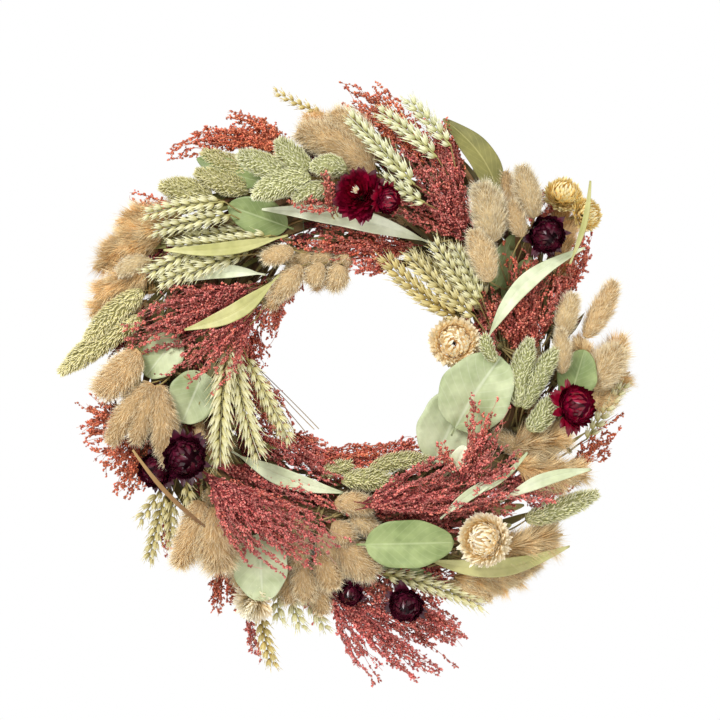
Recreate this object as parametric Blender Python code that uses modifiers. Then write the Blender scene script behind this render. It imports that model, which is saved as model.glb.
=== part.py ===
"""Harvest door wreath: wire frame, bundled stems, wired-on dried picks and a folding hanging loop.

Metres, +Z up. The front faces -Y and the door is on the +Y side. The origin is the point of the
raised hanging loop that a hook touches. A place on the wreath is a clock bearing in degrees,
clockwise from the top as seen from the front, and a radius from the ring's centre in millimetres.
"""

import math

import bmesh
import bpy
import numpy as np
from mathutils import Vector
from mathutils.bvhtree import BVHTree

MM = 0.001
RING_CENTRE_Z = -0.180

# wire frame
RING_RADII = (0.116, 0.152)
RING_WIRE_R = 0.0013
RING_SEGMENTS = 72
RING_SIDES = 6
BAR_CLOCKS = (20, 80, 140, 200, 260, 320)
BAR_INNER_R, BAR_OUTER_R = 0.112, 0.156
BAR_WIDTH = 0.006
BAR_FRONT_Y, BAR_BACK_Y = 0.0010, 0.0041

# bundle of stems
BUNDLE_R = 0.134
BUNDLE_HALF_WIDTH, BUNDLE_HALF_DEPTH = 0.0215, 0.0130
BUNDLE_Y = -0.0156
BUNDLE_EXPONENT = 2.3
BUNDLE_SEGMENTS, BUNDLE_SIDES = 54, 12

# paddle wire wound round the bundle and both rings
WIND_TURNS, WIND_POINTS = 18, 12
WIND_HALF_WIDTH, WIND_HALF_DEPTH = 0.029, 0.0174
WIND_Y = -0.0140
WIND_EXPONENT = 4.0
WIND_START_CLOCK = 8.3
WIND_WIRE_R = 0.0003

# hanging loop
LOOP_WIRE_R = 0.0009
LOOP_EYE_R = 0.0028
LOOP_EYE_X = 0.012
LOOP_PIVOT_Z = -0.0285
LOOP_EYE_WRAP = math.radians(262)
LOOP_EYE_STEPS = 14
LOOP_SHOULDER_Z = -0.0120

# laying of the picks
CROWN_EDGE_Y, CROWN_RISE = 0.010, 0.024
CROWN_MID_R, CROWN_HALF_R = 0.146, 0.082
LAY_STEP = 0.0012
LAY_GAP = 0.0004
STEM_R = 0.0011
KNOT_R = 0.0032
LEAF_THICKNESS = 0.0009

# head outlines: (fraction of the length, fraction of the greatest radius)
OUTLINES = {
    "wheat": ((0, 0.3), (0.14, 0.85), (0.5, 1.0), (0.85, 0.7), (1, 0.12)),
    "phalaris": ((0, 0.25), (0.13, 0.75), (0.42, 1.0), (0.78, 0.8), (1, 0.15)),
    "bunny": ((0, 0.3), (0.18, 0.85), (0.48, 1.0), (0.82, 0.75), (1, 0.2)),
    "plume": ((0, 0.2), (0.3, 0.8), (0.6, 1.0), (0.85, 0.65), (1, 0.15)),
    "broom": ((0, 0.3), (0.28, 0.85), (0.6, 1.0), (0.86, 0.6), (1, 0.12)),
}
HEAD_SIDES = {"wheat": 6, "phalaris": 7, "bunny": 7, "plume": 6, "broom": 6}
# depth of a head over its width, and how far its tip stands proud of the crown
HEAD_FLATNESS = {"wheat": 0.75, "phalaris": 0.8, "bunny": 0.8, "plume": 0.6, "broom": 0.5}
HEAD_LIFT = {"wheat": 0.012, "phalaris": 0.010, "bunny": 0.012, "plume": 0.006, "broom": 0.006}

# flower outline along its axis: (height, radius), both over the flower's radius
FLOWER_OUTLINE = (
    (-1.05, 0.07), (-0.5, 0.08), (-0.42, 0.4), (-0.12, 0.9), (0.12, 1.0),
    (0.42, 0.8), (0.62, 0.42), (0.68, 0.1),
)
FLOWER_SIDES = 12

COLOURS = {
    "galvanised_wire": (0.45, 0.46, 0.47),
    "florist_wire": (0.12, 0.20, 0.12),
    "stems": (0.46, 0.40, 0.22),
    "strawflower_crimson": (0.30, 0.01, 0.06),
    "strawflower_plum": (0.07, 0.01, 0.03),
    "strawflower_cream": (0.85, 0.62, 0.36),
    "strawflower_gold": (0.90, 0.55, 0.25),
    "leaf_green": (0.33, 0.43, 0.20),
    "leaf_pale": (0.50, 0.58, 0.38),
    "leaf_olive": (0.30, 0.36, 0.10),
    "wheat": (0.63, 0.62, 0.36),
    "phalaris": (0.52, 0.57, 0.30),
    "bunny_tail": (0.70, 0.52, 0.32),
    "plume": (0.62, 0.38, 0.17),
    "broom_corn": (0.50, 0.12, 0.10),
}

# name: (slot, place, radius in mm, (clock bearing it faces, lean from straight ahead in degrees))
FLOWERS = {
    "strawflower_1": ("strawflower_crimson", (3, 132), 22, (310, 18)),
    "strawflower_2": ("strawflower_cream", (52, 218), 16, (15, 52)),
    "strawflower_3": ("strawflower_cream", (58, 223), 14, (78, 56)),
    "strawflower_4": ("strawflower_plum", (57, 186), 16, (150, 22)),
    "strawflower_5": ("strawflower_gold", (79, 85), 20, (20, 12)),
    "strawflower_6": ("strawflower_crimson", (101, 182), 18, (75, 38)),
    "strawflower_7": ("strawflower_cream", (143, 175), 21, (285, 34)),
    "strawflower_8": ("strawflower_plum", (167, 199), 15, (200, 25)),
    "strawflower_9": ("strawflower_cream", (202, 210), 16, (215, 40)),
    "strawflower_10": ("strawflower_plum", (240, 148), 18, (100, 20)),
    "strawflower_11": ("strawflower_plum", (241, 178), 15, (240, 30)),
}

# name: (slot, foot, tip, width in mm, sideways bow in mm, forward arch in mm, bluntness)
LEAVES = {
    "eucalyptus_1": ("leaf_green", (336, 156), (323, 205), 20, 2, 3, 0.75),
    "eucalyptus_2": ("leaf_green", (337, 116), (322, 159), 30, 0, 4, 0.6),
    "eucalyptus_3": ("leaf_olive", (46, 172), (21, 210), 21, -9, 4, 0.8),
    "eucalyptus_4": ("leaf_green", (101, 178), (87, 188), 30, 0, 3, 0.6),
    "eucalyptus_5": ("leaf_pale", (126, 100), (88, 120), 56, 2, 4, 0.45),
    "eucalyptus_6": ("leaf_pale", (143, 108), (102, 97), 50, 0, 5, 0.45),
    "eucalyptus_7": ("leaf_green", (178, 145), (150, 165), 37, 0, 4, 0.5),
    "eucalyptus_8": ("leaf_pale", (209, 150), (200, 203), 42, 0, 4, 0.5),
    "eucalyptus_9": ("leaf_pale", (268, 116), (250, 143), 38, 0, 3, 0.5),
    "eucalyptus_10": ("leaf_pale", (280, 138), (266, 164), 31, 0, 3, 0.5),
    "willow_leaf_1": ("leaf_pale", (37, 117), (330, 141), 15, -7, 5, 1.0),
    "willow_leaf_2": ("leaf_olive", (321, 89), (281, 133), 12, 8, 4, 1.1),
    "willow_leaf_3": ("leaf_pale", (83, 108), (64, 209), 12, 13, 8, 1.1),
    "willow_leaf_4": ("leaf_pale", (233, 119), (183, 105), 13, -5, 3, 1.1),
    "willow_leaf_5": ("leaf_olive", (161, 164), (130, 231), 13, -13, 3, 1.0),
}

# name: (kind, slot, foot, ((base, tip, width in mm) of each head))
BUNCHES = {
    "wheat_1": ("wheat", "wheat", (333, 105), (
        ((322, 162), (305, 203), 15), ((321, 151), (303, 189), 15), ((328, 119), (302, 174), 16),
        ((310, 151), (293, 177), 16), ((309, 139), (292, 165), 15), ((314, 122), (298, 145), 16))),
    "wheat_2": ("wheat", "wheat", (39, 152), (
        ((20, 150), (359, 198), 17), ((23, 177), (6, 201), 16),
        ((25, 190), (12, 215), 15), ((25, 140), (10, 148), 14))),
    "wheat_3": ("wheat", "wheat", (84, 121), (
        ((68, 94), (16, 91), 18), ((70, 106), (27, 98), 17),
        ((66, 113), (34, 117), 16), ((64, 117), (41, 125), 14))),
    "wheat_4": ("wheat", "wheat", (288, 103), (
        ((278, 97), (230, 133), 21), ((275, 92), (221, 106), 19), ((272, 82), (214, 80), 14))),
    "wheat_5": ("wheat", "wheat", (238, 165), (
        ((236, 184), (233, 212), 13), ((234, 184), (225, 231), 14),
        ((233, 179), (224, 205), 14), ((234, 163), (221, 188), 14))),
    "wheat_6": ("wheat", "wheat", (175, 165), (
        ((166, 180), (151, 226), 16), ((171, 172), (157, 199), 16))),
    "phalaris_1": ("phalaris", "phalaris", (1, 141), (
        ((348, 155), (342, 184), 22), ((341, 160), (332, 186), 21), ((348, 150), (330, 152), 24),
        ((359, 153), (349, 157), 19), ((354, 139), (341, 135), 16))),
    "phalaris_2": ("phalaris", "phalaris", (292, 157), (
        ((289, 176), (275, 212), 22), ((282, 172), (268, 234), 23))),
    "phalaris_3": ("phalaris", "phalaris", (112, 144), (
        ((105, 138), (83, 144), 21), ((105, 143), (86, 167), 18), ((111, 153), (100, 164), 20))),
    "phalaris_4": ("phalaris", "phalaris", (191, 93), (
        ((170, 88), (141, 101), 16), ((184, 95), (158, 107), 19))),
    "phalaris_5": ("phalaris", "phalaris", (139, 182), (
        ((132, 190), (118, 226), 20),)),
    "bunny_tail_1": ("bunny", "bunny_tail", (65, 141), (
        ((50, 148), (36, 174), 28), ((54, 169), (45, 179), 16),
        ((52, 186), (41, 206), 21), ((60, 128), (43, 142), 21))),
    "bunny_tail_2": ("bunny", "bunny_tail", (100, 182), (
        ((83, 172), (73, 187), 19), ((84, 190), (73, 223), 19), ((96, 195), (87, 218), 27))),
    "bunny_tail_3": ("bunny", "bunny_tail", (16, 143), (
        ((7, 153), (347, 189), 30), ((6, 163), (356, 201), 26))),
    "bunny_tail_4": ("bunny", "bunny_tail", (0, 85), (
        ((333, 86), (310, 80), 19), ((344, 82), (332, 71), 16),
        ((355, 78), (345, 60), 20), ((333, 100), (320, 107), 16))),
    "bunny_tail_5": ("plume", "plume", (311, 164), (
        ((308, 185), (298, 215), 22), ((303, 181), (294, 219), 16), ((297, 180), (284, 213), 22))),
    "bunny_tail_6": ("bunny", "bunny_tail", (267, 143), (
        ((273, 168), (263, 203), 27), ((264, 159), (251, 202), 19),
        ((263, 156), (249, 182), 18), ((263, 153), (240, 165), 22))),
    "bunny_tail_7": ("bunny", "bunny_tail", (232, 150), (
        ((223, 157), (212, 195), 34), ((227, 161), (220, 212), 26))),
    "bunny_tail_8": ("bunny", "bunny_tail", (192, 129), (
        ((193, 165), (190, 194), 21), ((189, 157), (184, 181), 22), ((183, 147), (173, 169), 27),
        ((186, 113), (171, 117), 18), ((186, 130), (179, 142), 19))),
    "bunny_tail_9": ("plume", "plume", (126, 128), (
        ((120, 143), (107, 187), 27), ((122, 156), (115, 208), 27))),
    "bunny_tail_10": ("plume", "plume", (154, 178), (
        ((144, 189), (129, 221), 29), ((154, 192), (144, 224), 19))),
    "broom_corn_1": ("broom", "broom_corn", (349, 173), (
        ((344, 176), (319, 224), 14), ((344, 178), (326, 222), 14),
        ((344, 181), (333, 222), 14), ((344, 178), (338, 212), 13))),
    "broom_corn_2": ("broom", "broom_corn", (34, 115), (
        ((29, 107), (331, 121), 19), ((27, 100), (347, 86), 19))),
    "broom_corn_3": ("broom", "broom_corn", (315, 92), (
        ((307, 97), (279, 183), 24), ((303, 94), (274, 183), 19),
        ((308, 101), (289, 168), 19), ((303, 93), (269, 102), 19))),
    "broom_corn_4": ("broom", "broom_corn", (50, 136), (
        ((43, 138), (12, 185), 21), ((43, 138), (20, 184), 22),
        ((42, 147), (21, 208), 13), ((43, 135), (15, 131), 21))),
    "broom_corn_5": ("broom", "broom_corn", (95, 140), (
        ((86, 140), (54, 165), 21), ((86, 141), (57, 181), 14),
        ((86, 144), (64, 188), 22), ((86, 136), (60, 120), 16))),
    "broom_corn_6": ("broom", "broom_corn", (251, 167), (
        ((253, 178), (262, 217), 13), ((252, 178), (254, 228), 22), ((251, 179), (242, 217), 22))),
    "broom_corn_7": ("broom", "broom_corn", (238, 149), (
        ((231, 142), (181, 153), 27), ((231, 142), (185, 165), 22),
        ((230, 144), (196, 171), 26), ((230, 144), (207, 163), 22))),
    "broom_corn_8": ("broom", "broom_corn", (189, 180), (
        ((185, 188), (174, 259), 22), ((184, 188), (167, 264), 21),
        ((184, 188), (162, 268), 19), ((184, 186), (157, 243), 21))),
    "broom_corn_9": ("broom", "broom_corn", (182, 120), (
        ((174, 116), (123, 197), 24), ((173, 113), (121, 169), 26), ((173, 111), (127, 120), 22))),
}

# the picks from the deepest to the one in front of all
LAYING_ORDER = (
    "broom_corn_2", "bunny_tail_4", "broom_corn_1", "bunny_tail_3", "bunny_tail_5", "phalaris_2",
    "eucalyptus_10", "broom_corn_6", "bunny_tail_6", "wheat_5", "bunny_tail_7", "strawflower_9",
    "broom_corn_8", "bunny_tail_10", "willow_leaf_5", "phalaris_5", "bunny_tail_9",
    "bunny_tail_2", "broom_corn_5", "eucalyptus_3", "strawflower_2", "strawflower_3",
    "eucalyptus_1", "eucalyptus_2", "eucalyptus_4", "wheat_2", "broom_corn_4", "bunny_tail_1",
    "eucalyptus_9", "broom_corn_3", "wheat_1", "phalaris_1", "eucalyptus_8", "bunny_tail_8",
    "broom_corn_7", "broom_corn_9", "wheat_6", "phalaris_3", "eucalyptus_5", "eucalyptus_6",
    "eucalyptus_7", "willow_leaf_4", "phalaris_4", "wheat_4", "willow_leaf_2", "willow_leaf_3",
    "willow_leaf_1", "wheat_3", "strawflower_4", "strawflower_5", "strawflower_6",
    "strawflower_7", "strawflower_8", "strawflower_10", "strawflower_11", "strawflower_1",
)


def clear_scene():
    for obj in list(bpy.data.objects):
        bpy.data.objects.remove(obj, do_unlink=True)


def new_collection(name):
    collection = bpy.data.collections.new(name)
    bpy.context.scene.collection.children.link(collection)
    return collection


def material(slot):
    """The slot's Principled material, made once."""
    if slot in bpy.data.materials:
        return bpy.data.materials[slot]
    made = bpy.data.materials.new(slot)
    made.use_nodes = True
    shader = made.node_tree.nodes["Principled BSDF"]
    shader.inputs["Base Color"].default_value = (*COLOURS[slot], 1.0)
    is_wire = slot == "galvanised_wire"
    shader.inputs["Metallic"].default_value = 1.0 if is_wire else 0.0
    shader.inputs["Roughness"].default_value = 0.35 if is_wire else 0.8
    made.diffuse_color = (*COLOURS[slot], 1.0)
    return made


def object_from(bm, name, slot, collection):
    """A new object with this mesh, its faces turned outward."""
    bmesh.ops.recalc_face_normals(bm, faces=bm.faces)
    mesh = bpy.data.meshes.new(name)
    bm.to_mesh(mesh)
    bm.free()
    obj = bpy.data.objects.new(name, mesh)
    mesh.materials.append(material(slot))
    collection.objects.link(obj)
    return obj


def bake_modifiers(obj):
    """Replace the object's mesh by its evaluated one."""
    bpy.context.view_layer.update()
    graph = bpy.context.evaluated_depsgraph_get()
    mesh = bpy.data.meshes.new_from_object(obj.evaluated_get(graph))
    obj.modifiers.clear()
    obj.data = mesh
    mesh.name = obj.name


def polar(clock, radius, y=0.0):
    """The point at a clock bearing in degrees and a radius in metres."""
    turn = math.radians(clock)
    return Vector((radius * math.sin(turn), y, RING_CENTRE_Z + radius * math.cos(turn)))


def crown_y(radius):
    """The y on which a pick rests: furthest forward over the middle of the band."""
    across = min(abs(radius - CROWN_MID_R) / CROWN_HALF_R, 1.0)
    return -(CROWN_EDGE_Y + CROWN_RISE * math.sqrt(1.0 - across * across))


def on_crown(place, lift=0.0):
    clock, radius = place[0], place[1] * MM
    return polar(clock, radius, crown_y(radius) - lift)


# ---------------------------------------------------------------- basic shapes


def bridge(bm, first, second):
    """Faces between two rings of vertices, where a ring of one vertex is a point."""
    count = max(len(first), len(second))
    for i in range(count):
        j = (i + 1) % count
        corners = [first[i % len(first)], first[j % len(first)]]
        corners += [second[j % len(second)], second[i % len(second)]]
        bm.faces.new(list(dict.fromkeys(corners)))


def add_turned(bm, start, end, stations, sides, flatness=1.0):
    """Add a closed body turned about the line from start to end.

    stations are (fraction of the line, radius). flatness squeezes it in depth.
    """
    axis = (end - start).normalized()
    helper = Vector((0, 1, 0)) if abs(axis.y) < 0.9 else Vector((0, 0, 1))
    side = axis.cross(helper).normalized()
    depth = axis.cross(side) * flatness
    rings = []
    for fraction, radius in stations:
        centre = start + (end - start) * fraction
        ring = []
        for k in range(sides):
            turn = math.tau * k / sides
            offset = side * math.cos(turn) + depth * math.sin(turn)
            ring.append(bm.verts.new(centre + offset * radius))
        rings.append(ring)
    for first, second in zip(rings, rings[1:]):
        bridge(bm, first, second)
    bm.faces.new(rings[0])
    bm.faces.new(rings[-1])


def add_box(bm, corners):
    """Add the box whose eight corners are given as two loops of four."""
    verts = [bm.verts.new(corner) for corner in corners]
    bridge(bm, verts[:4], verts[4:])
    bm.faces.new(verts[:4])
    bm.faces.new(verts[4:])


def superellipse(turn, half_width, half_depth, exponent):
    """(across, depth) of a rounded rectangle's point at this turn."""
    c, s = math.cos(turn), math.sin(turn)
    power = 2.0 / exponent
    across = math.copysign(abs(c) ** power, c) * half_width
    return across, math.copysign(abs(s) ** power, s) * half_depth


def add_ring(bm, radius, y, section, segments):
    """Add a ring about the wreath's centre with a closed section of (across, depth) points."""
    loops = []
    for k in range(segments):
        clock = 360.0 * k / segments
        loops.append([bm.verts.new(polar(clock, radius + a, y + d)) for a, d in section])
    for k, loop in enumerate(loops):
        bridge(bm, loop, loops[(k + 1) % segments])


def wire_from(points, name, slot, radius, collection, resolution):
    """A wire of round section along the points, as a mesh."""
    curve = bpy.data.curves.new(name + "_path", "CURVE")
    curve.dimensions = "3D"
    curve.bevel_depth = radius
    curve.bevel_resolution = resolution
    curve.use_fill_caps = True
    spline = curve.splines.new("POLY")
    spline.points.add(len(points) - 1)
    for target, point in zip(spline.points, points):
        target.co = (*point, 1.0)
    path = bpy.data.objects.new(name + "_path", curve)
    collection.objects.link(path)
    bpy.context.view_layer.update()
    graph = bpy.context.evaluated_depsgraph_get()
    mesh = bpy.data.meshes.new_from_object(path.evaluated_get(graph))
    bpy.data.objects.remove(path, do_unlink=True)
    bpy.data.curves.remove(curve)
    bm = bmesh.new()
    bm.from_mesh(mesh)
    bpy.data.meshes.remove(mesh)
    bmesh.ops.remove_doubles(bm, verts=bm.verts, dist=1e-6)
    return object_from(bm, name, slot, collection)


def union_with(obj, other_bm, collection):
    """Join the object's shells and another one into a single closed body."""
    other = object_from(other_bm, obj.name + "_joint", obj.data.materials[0].name, collection)
    join = obj.modifiers.new("join", "BOOLEAN")
    join.operation = "UNION"
    join.solver = "EXACT"
    join.use_self = True
    join.object = other
    bake_modifiers(obj)
    bpy.data.objects.remove(other, do_unlink=True)


# ---------------------------------------------------------------- frame, bundle, wire, loop


def make_wire_frame(collection):
    """Two wire rings with flat cross bars welded across their backs."""
    rings = bmesh.new()
    section = []
    for k in range(RING_SIDES):
        turn = math.tau * (k + 0.5) / RING_SIDES
        section.append((RING_WIRE_R * math.cos(turn), RING_WIRE_R * math.sin(turn)))
    for radius in RING_RADII:
        add_ring(rings, radius, 0.0, section, RING_SEGMENTS)
    obj = object_from(rings, "wire_frame", "galvanised_wire", collection)
    bars = bmesh.new()
    for clock in BAR_CLOCKS:
        across = polar(clock + 90, BAR_WIDTH / 2) - polar(0, 0)
        inner, outer = polar(clock, BAR_INNER_R), polar(clock, BAR_OUTER_R)
        outline = (inner - across, outer - across, outer + across, inner + across)
        front, back = Vector((0, BAR_FRONT_Y, 0)), Vector((0, BAR_BACK_Y, 0))
        add_box(bars, [p + front for p in outline] + [p + back for p in outline])
    union_with(obj, bars, collection)
    return obj


def make_stem_bundle(collection):
    """The bundled stems that everything is wired to, lying in front of the rings."""
    bm = bmesh.new()
    section = []
    for k in range(BUNDLE_SIDES):
        turn = math.tau * (k + 0.5) / BUNDLE_SIDES
        shape = (BUNDLE_HALF_WIDTH, BUNDLE_HALF_DEPTH, BUNDLE_EXPONENT)
        section.append(superellipse(turn, *shape))
    add_ring(bm, BUNDLE_R, BUNDLE_Y, section, BUNDLE_SEGMENTS)
    return object_from(bm, "stem_bundle", "stems", collection)


def make_binding_wire(collection):
    """Paddle wire wound round bundle and rings, its two ends left just short of each other."""
    points = []
    count = WIND_TURNS * WIND_POINTS
    for k in range(count - 1):
        turn = math.tau * (k % WIND_POINTS + 0.5) / WIND_POINTS
        shape = (WIND_HALF_WIDTH, WIND_HALF_DEPTH, WIND_EXPONENT)
        across, depth = superellipse(turn, *shape)
        clock = WIND_START_CLOCK + 360.0 * k / count
        points.append(polar(clock, BUNDLE_R + across, WIND_Y + depth))
    return wire_from(points, "binding_wire", "florist_wire", WIND_WIRE_R, collection, 0)


def make_hanging_loop(collection):
    """A wire bail whose two eyes turn on the outer ring."""
    half = []
    for k in range(LOOP_EYE_STEPS + 1):
        turn = LOOP_EYE_WRAP * (1 - k / LOOP_EYE_STEPS)
        y = -LOOP_EYE_R * math.cos(turn)
        half.append(Vector((LOOP_EYE_X, y, LOOP_PIVOT_Z - LOOP_EYE_R * math.sin(turn))))
    half.append(Vector((LOOP_EYE_X, -LOOP_EYE_R * 0.9, LOOP_PIVOT_Z + 0.004)))
    half.append(Vector((LOOP_EYE_X, -LOOP_EYE_R * 0.4, LOOP_PIVOT_Z + 0.009)))
    half.append(Vector((LOOP_EYE_X, 0.0, LOOP_SHOULDER_Z)))
    rise = LOOP_WIRE_R - LOOP_SHOULDER_Z
    arch_steps = 6
    for k in range(1, arch_steps):
        turn = math.pi / 2 * k / arch_steps
        x, z = LOOP_EYE_X * math.cos(turn), LOOP_SHOULDER_Z + rise * math.sin(turn)
        half.append(Vector((x, 0.0, z)))
    mirrored = [Vector((-p.x, p.y, p.z)) for p in half]
    points = half + [Vector((0, 0, LOOP_WIRE_R))] + mirrored[::-1]
    return wire_from(points, "hanging_loop", "galvanised_wire", LOOP_WIRE_R, collection, 1)


# ---------------------------------------------------------------- picks


def make_bunch(name, collection):
    """Heads on stems that run together into one tied foot."""
    kind, slot, foot_place, heads = BUNCHES[name]
    lift = HEAD_LIFT[kind]
    foot = on_crown(foot_place)
    bm = bmesh.new()
    for base_place, tip_place, width in heads:
        base, tip = on_crown(base_place, lift * 0.3), on_crown(tip_place, lift)
        radius = width * MM / 2
        stations = [(t, radius * r) for t, r in OUTLINES[kind]]
        add_turned(bm, base, tip, stations, HEAD_SIDES[kind], HEAD_FLATNESS[kind])
        into_head = base.lerp(tip, 0.15)
        add_turned(bm, foot, into_head, ((0, STEM_R), (1, STEM_R)), 4)
    obj = object_from(bm, name, slot, collection)
    knot = bmesh.new()
    first_base = on_crown(heads[0][0])
    along = (first_base - foot).normalized() * KNOT_R * 1.5
    stations = ((0, KNOT_R * 0.6), (0.5, KNOT_R), (1, KNOT_R * 0.6))
    add_turned(knot, foot - along, foot + along, stations, 6)
    union_with(obj, knot, collection)
    return obj


def leaf_half_width(t, width, bluntness):
    """Half the blade's width at fraction t of its length, with a slim stalk at the foot."""
    stalk = 0.0009
    if t < 0.1:
        return stalk
    along = (t - 0.1) / 0.9
    swell = math.sin(math.pi * along ** 0.85)
    return stalk + width / 2 * max(swell, 0.0) ** bluntness


def make_leaf(name, collection):
    """A thin blade on a stalk, bowed sideways and arched forward."""
    slot, foot_place, tip_place, width, bow, arch, bluntness = LEAVES[name]
    foot, tip = on_crown(foot_place), on_crown(tip_place, 0.004)
    along = (tip - foot).normalized()
    side = along.cross(Vector((0, 1, 0))).normalized()
    front = Vector((0, -1, 0))
    rows = 9 if name.startswith("willow") else 8
    across = (-1.0, -0.55, 0.0, 0.55, 1.0)
    bm = bmesh.new()
    grid = []
    for i in range(rows + 1):
        t = i / rows
        hump = math.sin(math.pi * t)
        middle = foot.lerp(tip, t) + side * bow * MM * hump + front * arch * MM * hump
        half = leaf_half_width(t, width * MM, bluntness)
        cup = [middle + side * half * a + front * half * 0.12 * a * a for a in across]
        grid.append([bm.verts.new(point) for point in cup])
    for lower, upper in zip(grid, grid[1:]):
        for j in range(len(across) - 1):
            bm.faces.new((lower[j], lower[j + 1], upper[j + 1], upper[j]))
    obj = object_from(bm, name, slot, collection)
    solidify = obj.modifiers.new("thickness", "SOLIDIFY")
    solidify.thickness = LEAF_THICKNESS
    solidify.offset = 0.0
    bake_modifiers(obj)
    return obj


def make_flower(name, collection):
    """A domed strawflower on a short stem, facing its own way."""
    slot, place, size, (bearing, lean) = FLOWERS[name]
    radius = size * MM
    centre = on_crown(place, radius * 0.5)
    tilt = math.radians(lean)
    out = polar(bearing, 1.0) - polar(0, 0)
    facing = Vector((0, -1, 0)) * math.cos(tilt) + out * math.sin(tilt)
    bm = bmesh.new()
    stations = [(height, radius * r) for height, r in FLOWER_OUTLINE]
    add_turned(bm, centre, centre + facing * radius, stations, FLOWER_SIDES)
    return object_from(bm, name, slot, collection)


def make_pick(name, collection):
    if name in FLOWERS:
        return make_flower(name, collection)
    if name in LEAVES:
        return make_leaf(name, collection)
    return make_bunch(name, collection)


# ---------------------------------------------------------------- laying


def surface_of(obj):
    """(points, polygons) of the object's mesh."""
    points = np.empty(len(obj.data.vertices) * 3, np.float32)
    obj.data.vertices.foreach_get("co", points)
    return points.reshape(-1, 3), [tuple(face.vertices) for face in obj.data.polygons]


def tree_of(points, polygons, forward):
    moved = points + np.array((0.0, -forward, 0.0), np.float32)
    return BVHTree.FromPolygons(moved.tolist(), polygons)


def lay(obj, laid):
    """Bring the pick forward until it clears everything laid before it."""
    points, polygons = surface_of(obj)
    forward = 0.0
    while True:
        trees = [tree_of(points, polygons, forward + gap) for gap in (0.0, -LAY_GAP)]
        if not any(tree.overlap(other) for tree in trees for other in laid):
            break
        forward += LAY_STEP
    moved = points + np.array((0.0, -forward, 0.0), np.float32)
    obj.data.vertices.foreach_set("co", moved.ravel())
    obj.data.update()
    laid.append(tree_of(moved, polygons, 0.0))


def main():
    clear_scene()
    collection = new_collection("harvest_wreath")
    fixed = (
        make_wire_frame(collection),
        make_stem_bundle(collection),
        make_binding_wire(collection),
        make_hanging_loop(collection),
    )
    laid = [tree_of(*surface_of(obj), 0.0) for obj in fixed]
    for name in LAYING_ORDER:
        lay(make_pick(name, collection), laid)


main()
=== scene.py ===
"""Looks of the harvest door wreath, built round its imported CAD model.

Every pick of the CAD model is replaced by a detailed piece in the same place: seeds on branches,
glumes on ears, hairs on tails, bracts on flowers. Small picks with no solid of their own, filler
and loose stems are added between them. A place on the wreath is a clock bearing in degrees,
clockwise from the top as seen from the front, and a radius from the ring's centre in millimetres.
"""

import math
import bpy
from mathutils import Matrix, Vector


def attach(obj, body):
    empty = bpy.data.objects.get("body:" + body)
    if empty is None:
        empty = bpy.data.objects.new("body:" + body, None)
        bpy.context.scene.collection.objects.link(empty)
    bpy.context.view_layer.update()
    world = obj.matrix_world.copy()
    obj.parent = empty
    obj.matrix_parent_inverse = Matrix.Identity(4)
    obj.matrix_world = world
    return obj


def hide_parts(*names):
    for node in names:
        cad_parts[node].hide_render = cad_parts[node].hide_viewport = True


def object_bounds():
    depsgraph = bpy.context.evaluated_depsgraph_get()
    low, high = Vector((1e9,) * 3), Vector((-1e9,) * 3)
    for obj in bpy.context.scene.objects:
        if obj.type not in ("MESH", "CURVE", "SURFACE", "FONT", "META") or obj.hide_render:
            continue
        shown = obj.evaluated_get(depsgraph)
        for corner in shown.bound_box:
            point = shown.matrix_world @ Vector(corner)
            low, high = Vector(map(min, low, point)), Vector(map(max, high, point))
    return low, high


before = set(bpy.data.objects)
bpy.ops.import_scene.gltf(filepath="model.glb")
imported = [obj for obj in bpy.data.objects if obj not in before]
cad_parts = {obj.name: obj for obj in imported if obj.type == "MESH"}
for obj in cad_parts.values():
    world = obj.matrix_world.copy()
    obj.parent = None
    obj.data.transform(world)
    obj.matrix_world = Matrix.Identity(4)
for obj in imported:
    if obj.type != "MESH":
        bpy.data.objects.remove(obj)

import zlib

import bpy
import numpy as np
from mathutils import Vector
from mathutils.bvhtree import BVHTree

CAD_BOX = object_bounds()
MM = 0.001
FORWARD = np.array((0.0, -1.0, 0.0))
GOLDEN_ANGLE = math.pi * (3.0 - math.sqrt(5.0))

# the model's own layout: the ring, the bundle and the crown on which the picks lie
RING_CENTRE_Z = -0.180
BUNDLE_R, BUNDLE_Y = 0.134, -0.0156
BUNDLE_HALF_WIDTH, BUNDLE_HALF_DEPTH = 0.0215, 0.0130
CROWN_EDGE_Y, CROWN_RISE = 0.010, 0.024
CROWN_MID_R, CROWN_HALF_R = 0.146, 0.082
HEAD_LIFT = {"wheat": 0.012, "phalaris": 0.010, "bunny": 0.012, "plume": 0.006, "broom": 0.006}

# the slot of each kind of head, and how the names of its pieces end
KIND_SLOT = {
    "wheat": "wheat", "phalaris": "phalaris", "bunny": "bunny_tail", "plume": "plume",
    "broom": "broom_corn",
}
KIND_SUFFIX = {
    "wheat": "ears", "phalaris": "heads", "bunny": "tails", "plume": "plumes", "broom": "sprays",
}

# name: (slot, place, radius in mm, (clock bearing it faces, lean from straight ahead in degrees))
FLOWERS = {
    "strawflower_1": ("strawflower_crimson", (3, 132), 22, (310, 18)),
    "strawflower_2": ("strawflower_cream", (52, 218), 16, (15, 52)),
    "strawflower_3": ("strawflower_cream", (58, 223), 14, (78, 56)),
    "strawflower_4": ("strawflower_plum", (57, 186), 16, (150, 22)),
    "strawflower_5": ("strawflower_gold", (79, 85), 20, (20, 12)),
    "strawflower_6": ("strawflower_crimson", (101, 182), 18, (75, 38)),
    "strawflower_7": ("strawflower_cream", (143, 175), 21, (285, 34)),
    "strawflower_8": ("strawflower_plum", (167, 199), 15, (200, 25)),
    "strawflower_9": ("strawflower_cream", (202, 210), 16, (215, 40)),
    "strawflower_10": ("strawflower_plum", (240, 148), 18, (100, 20)),
    "strawflower_11": ("strawflower_plum", (241, 178), 15, (240, 30)),
}

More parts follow.
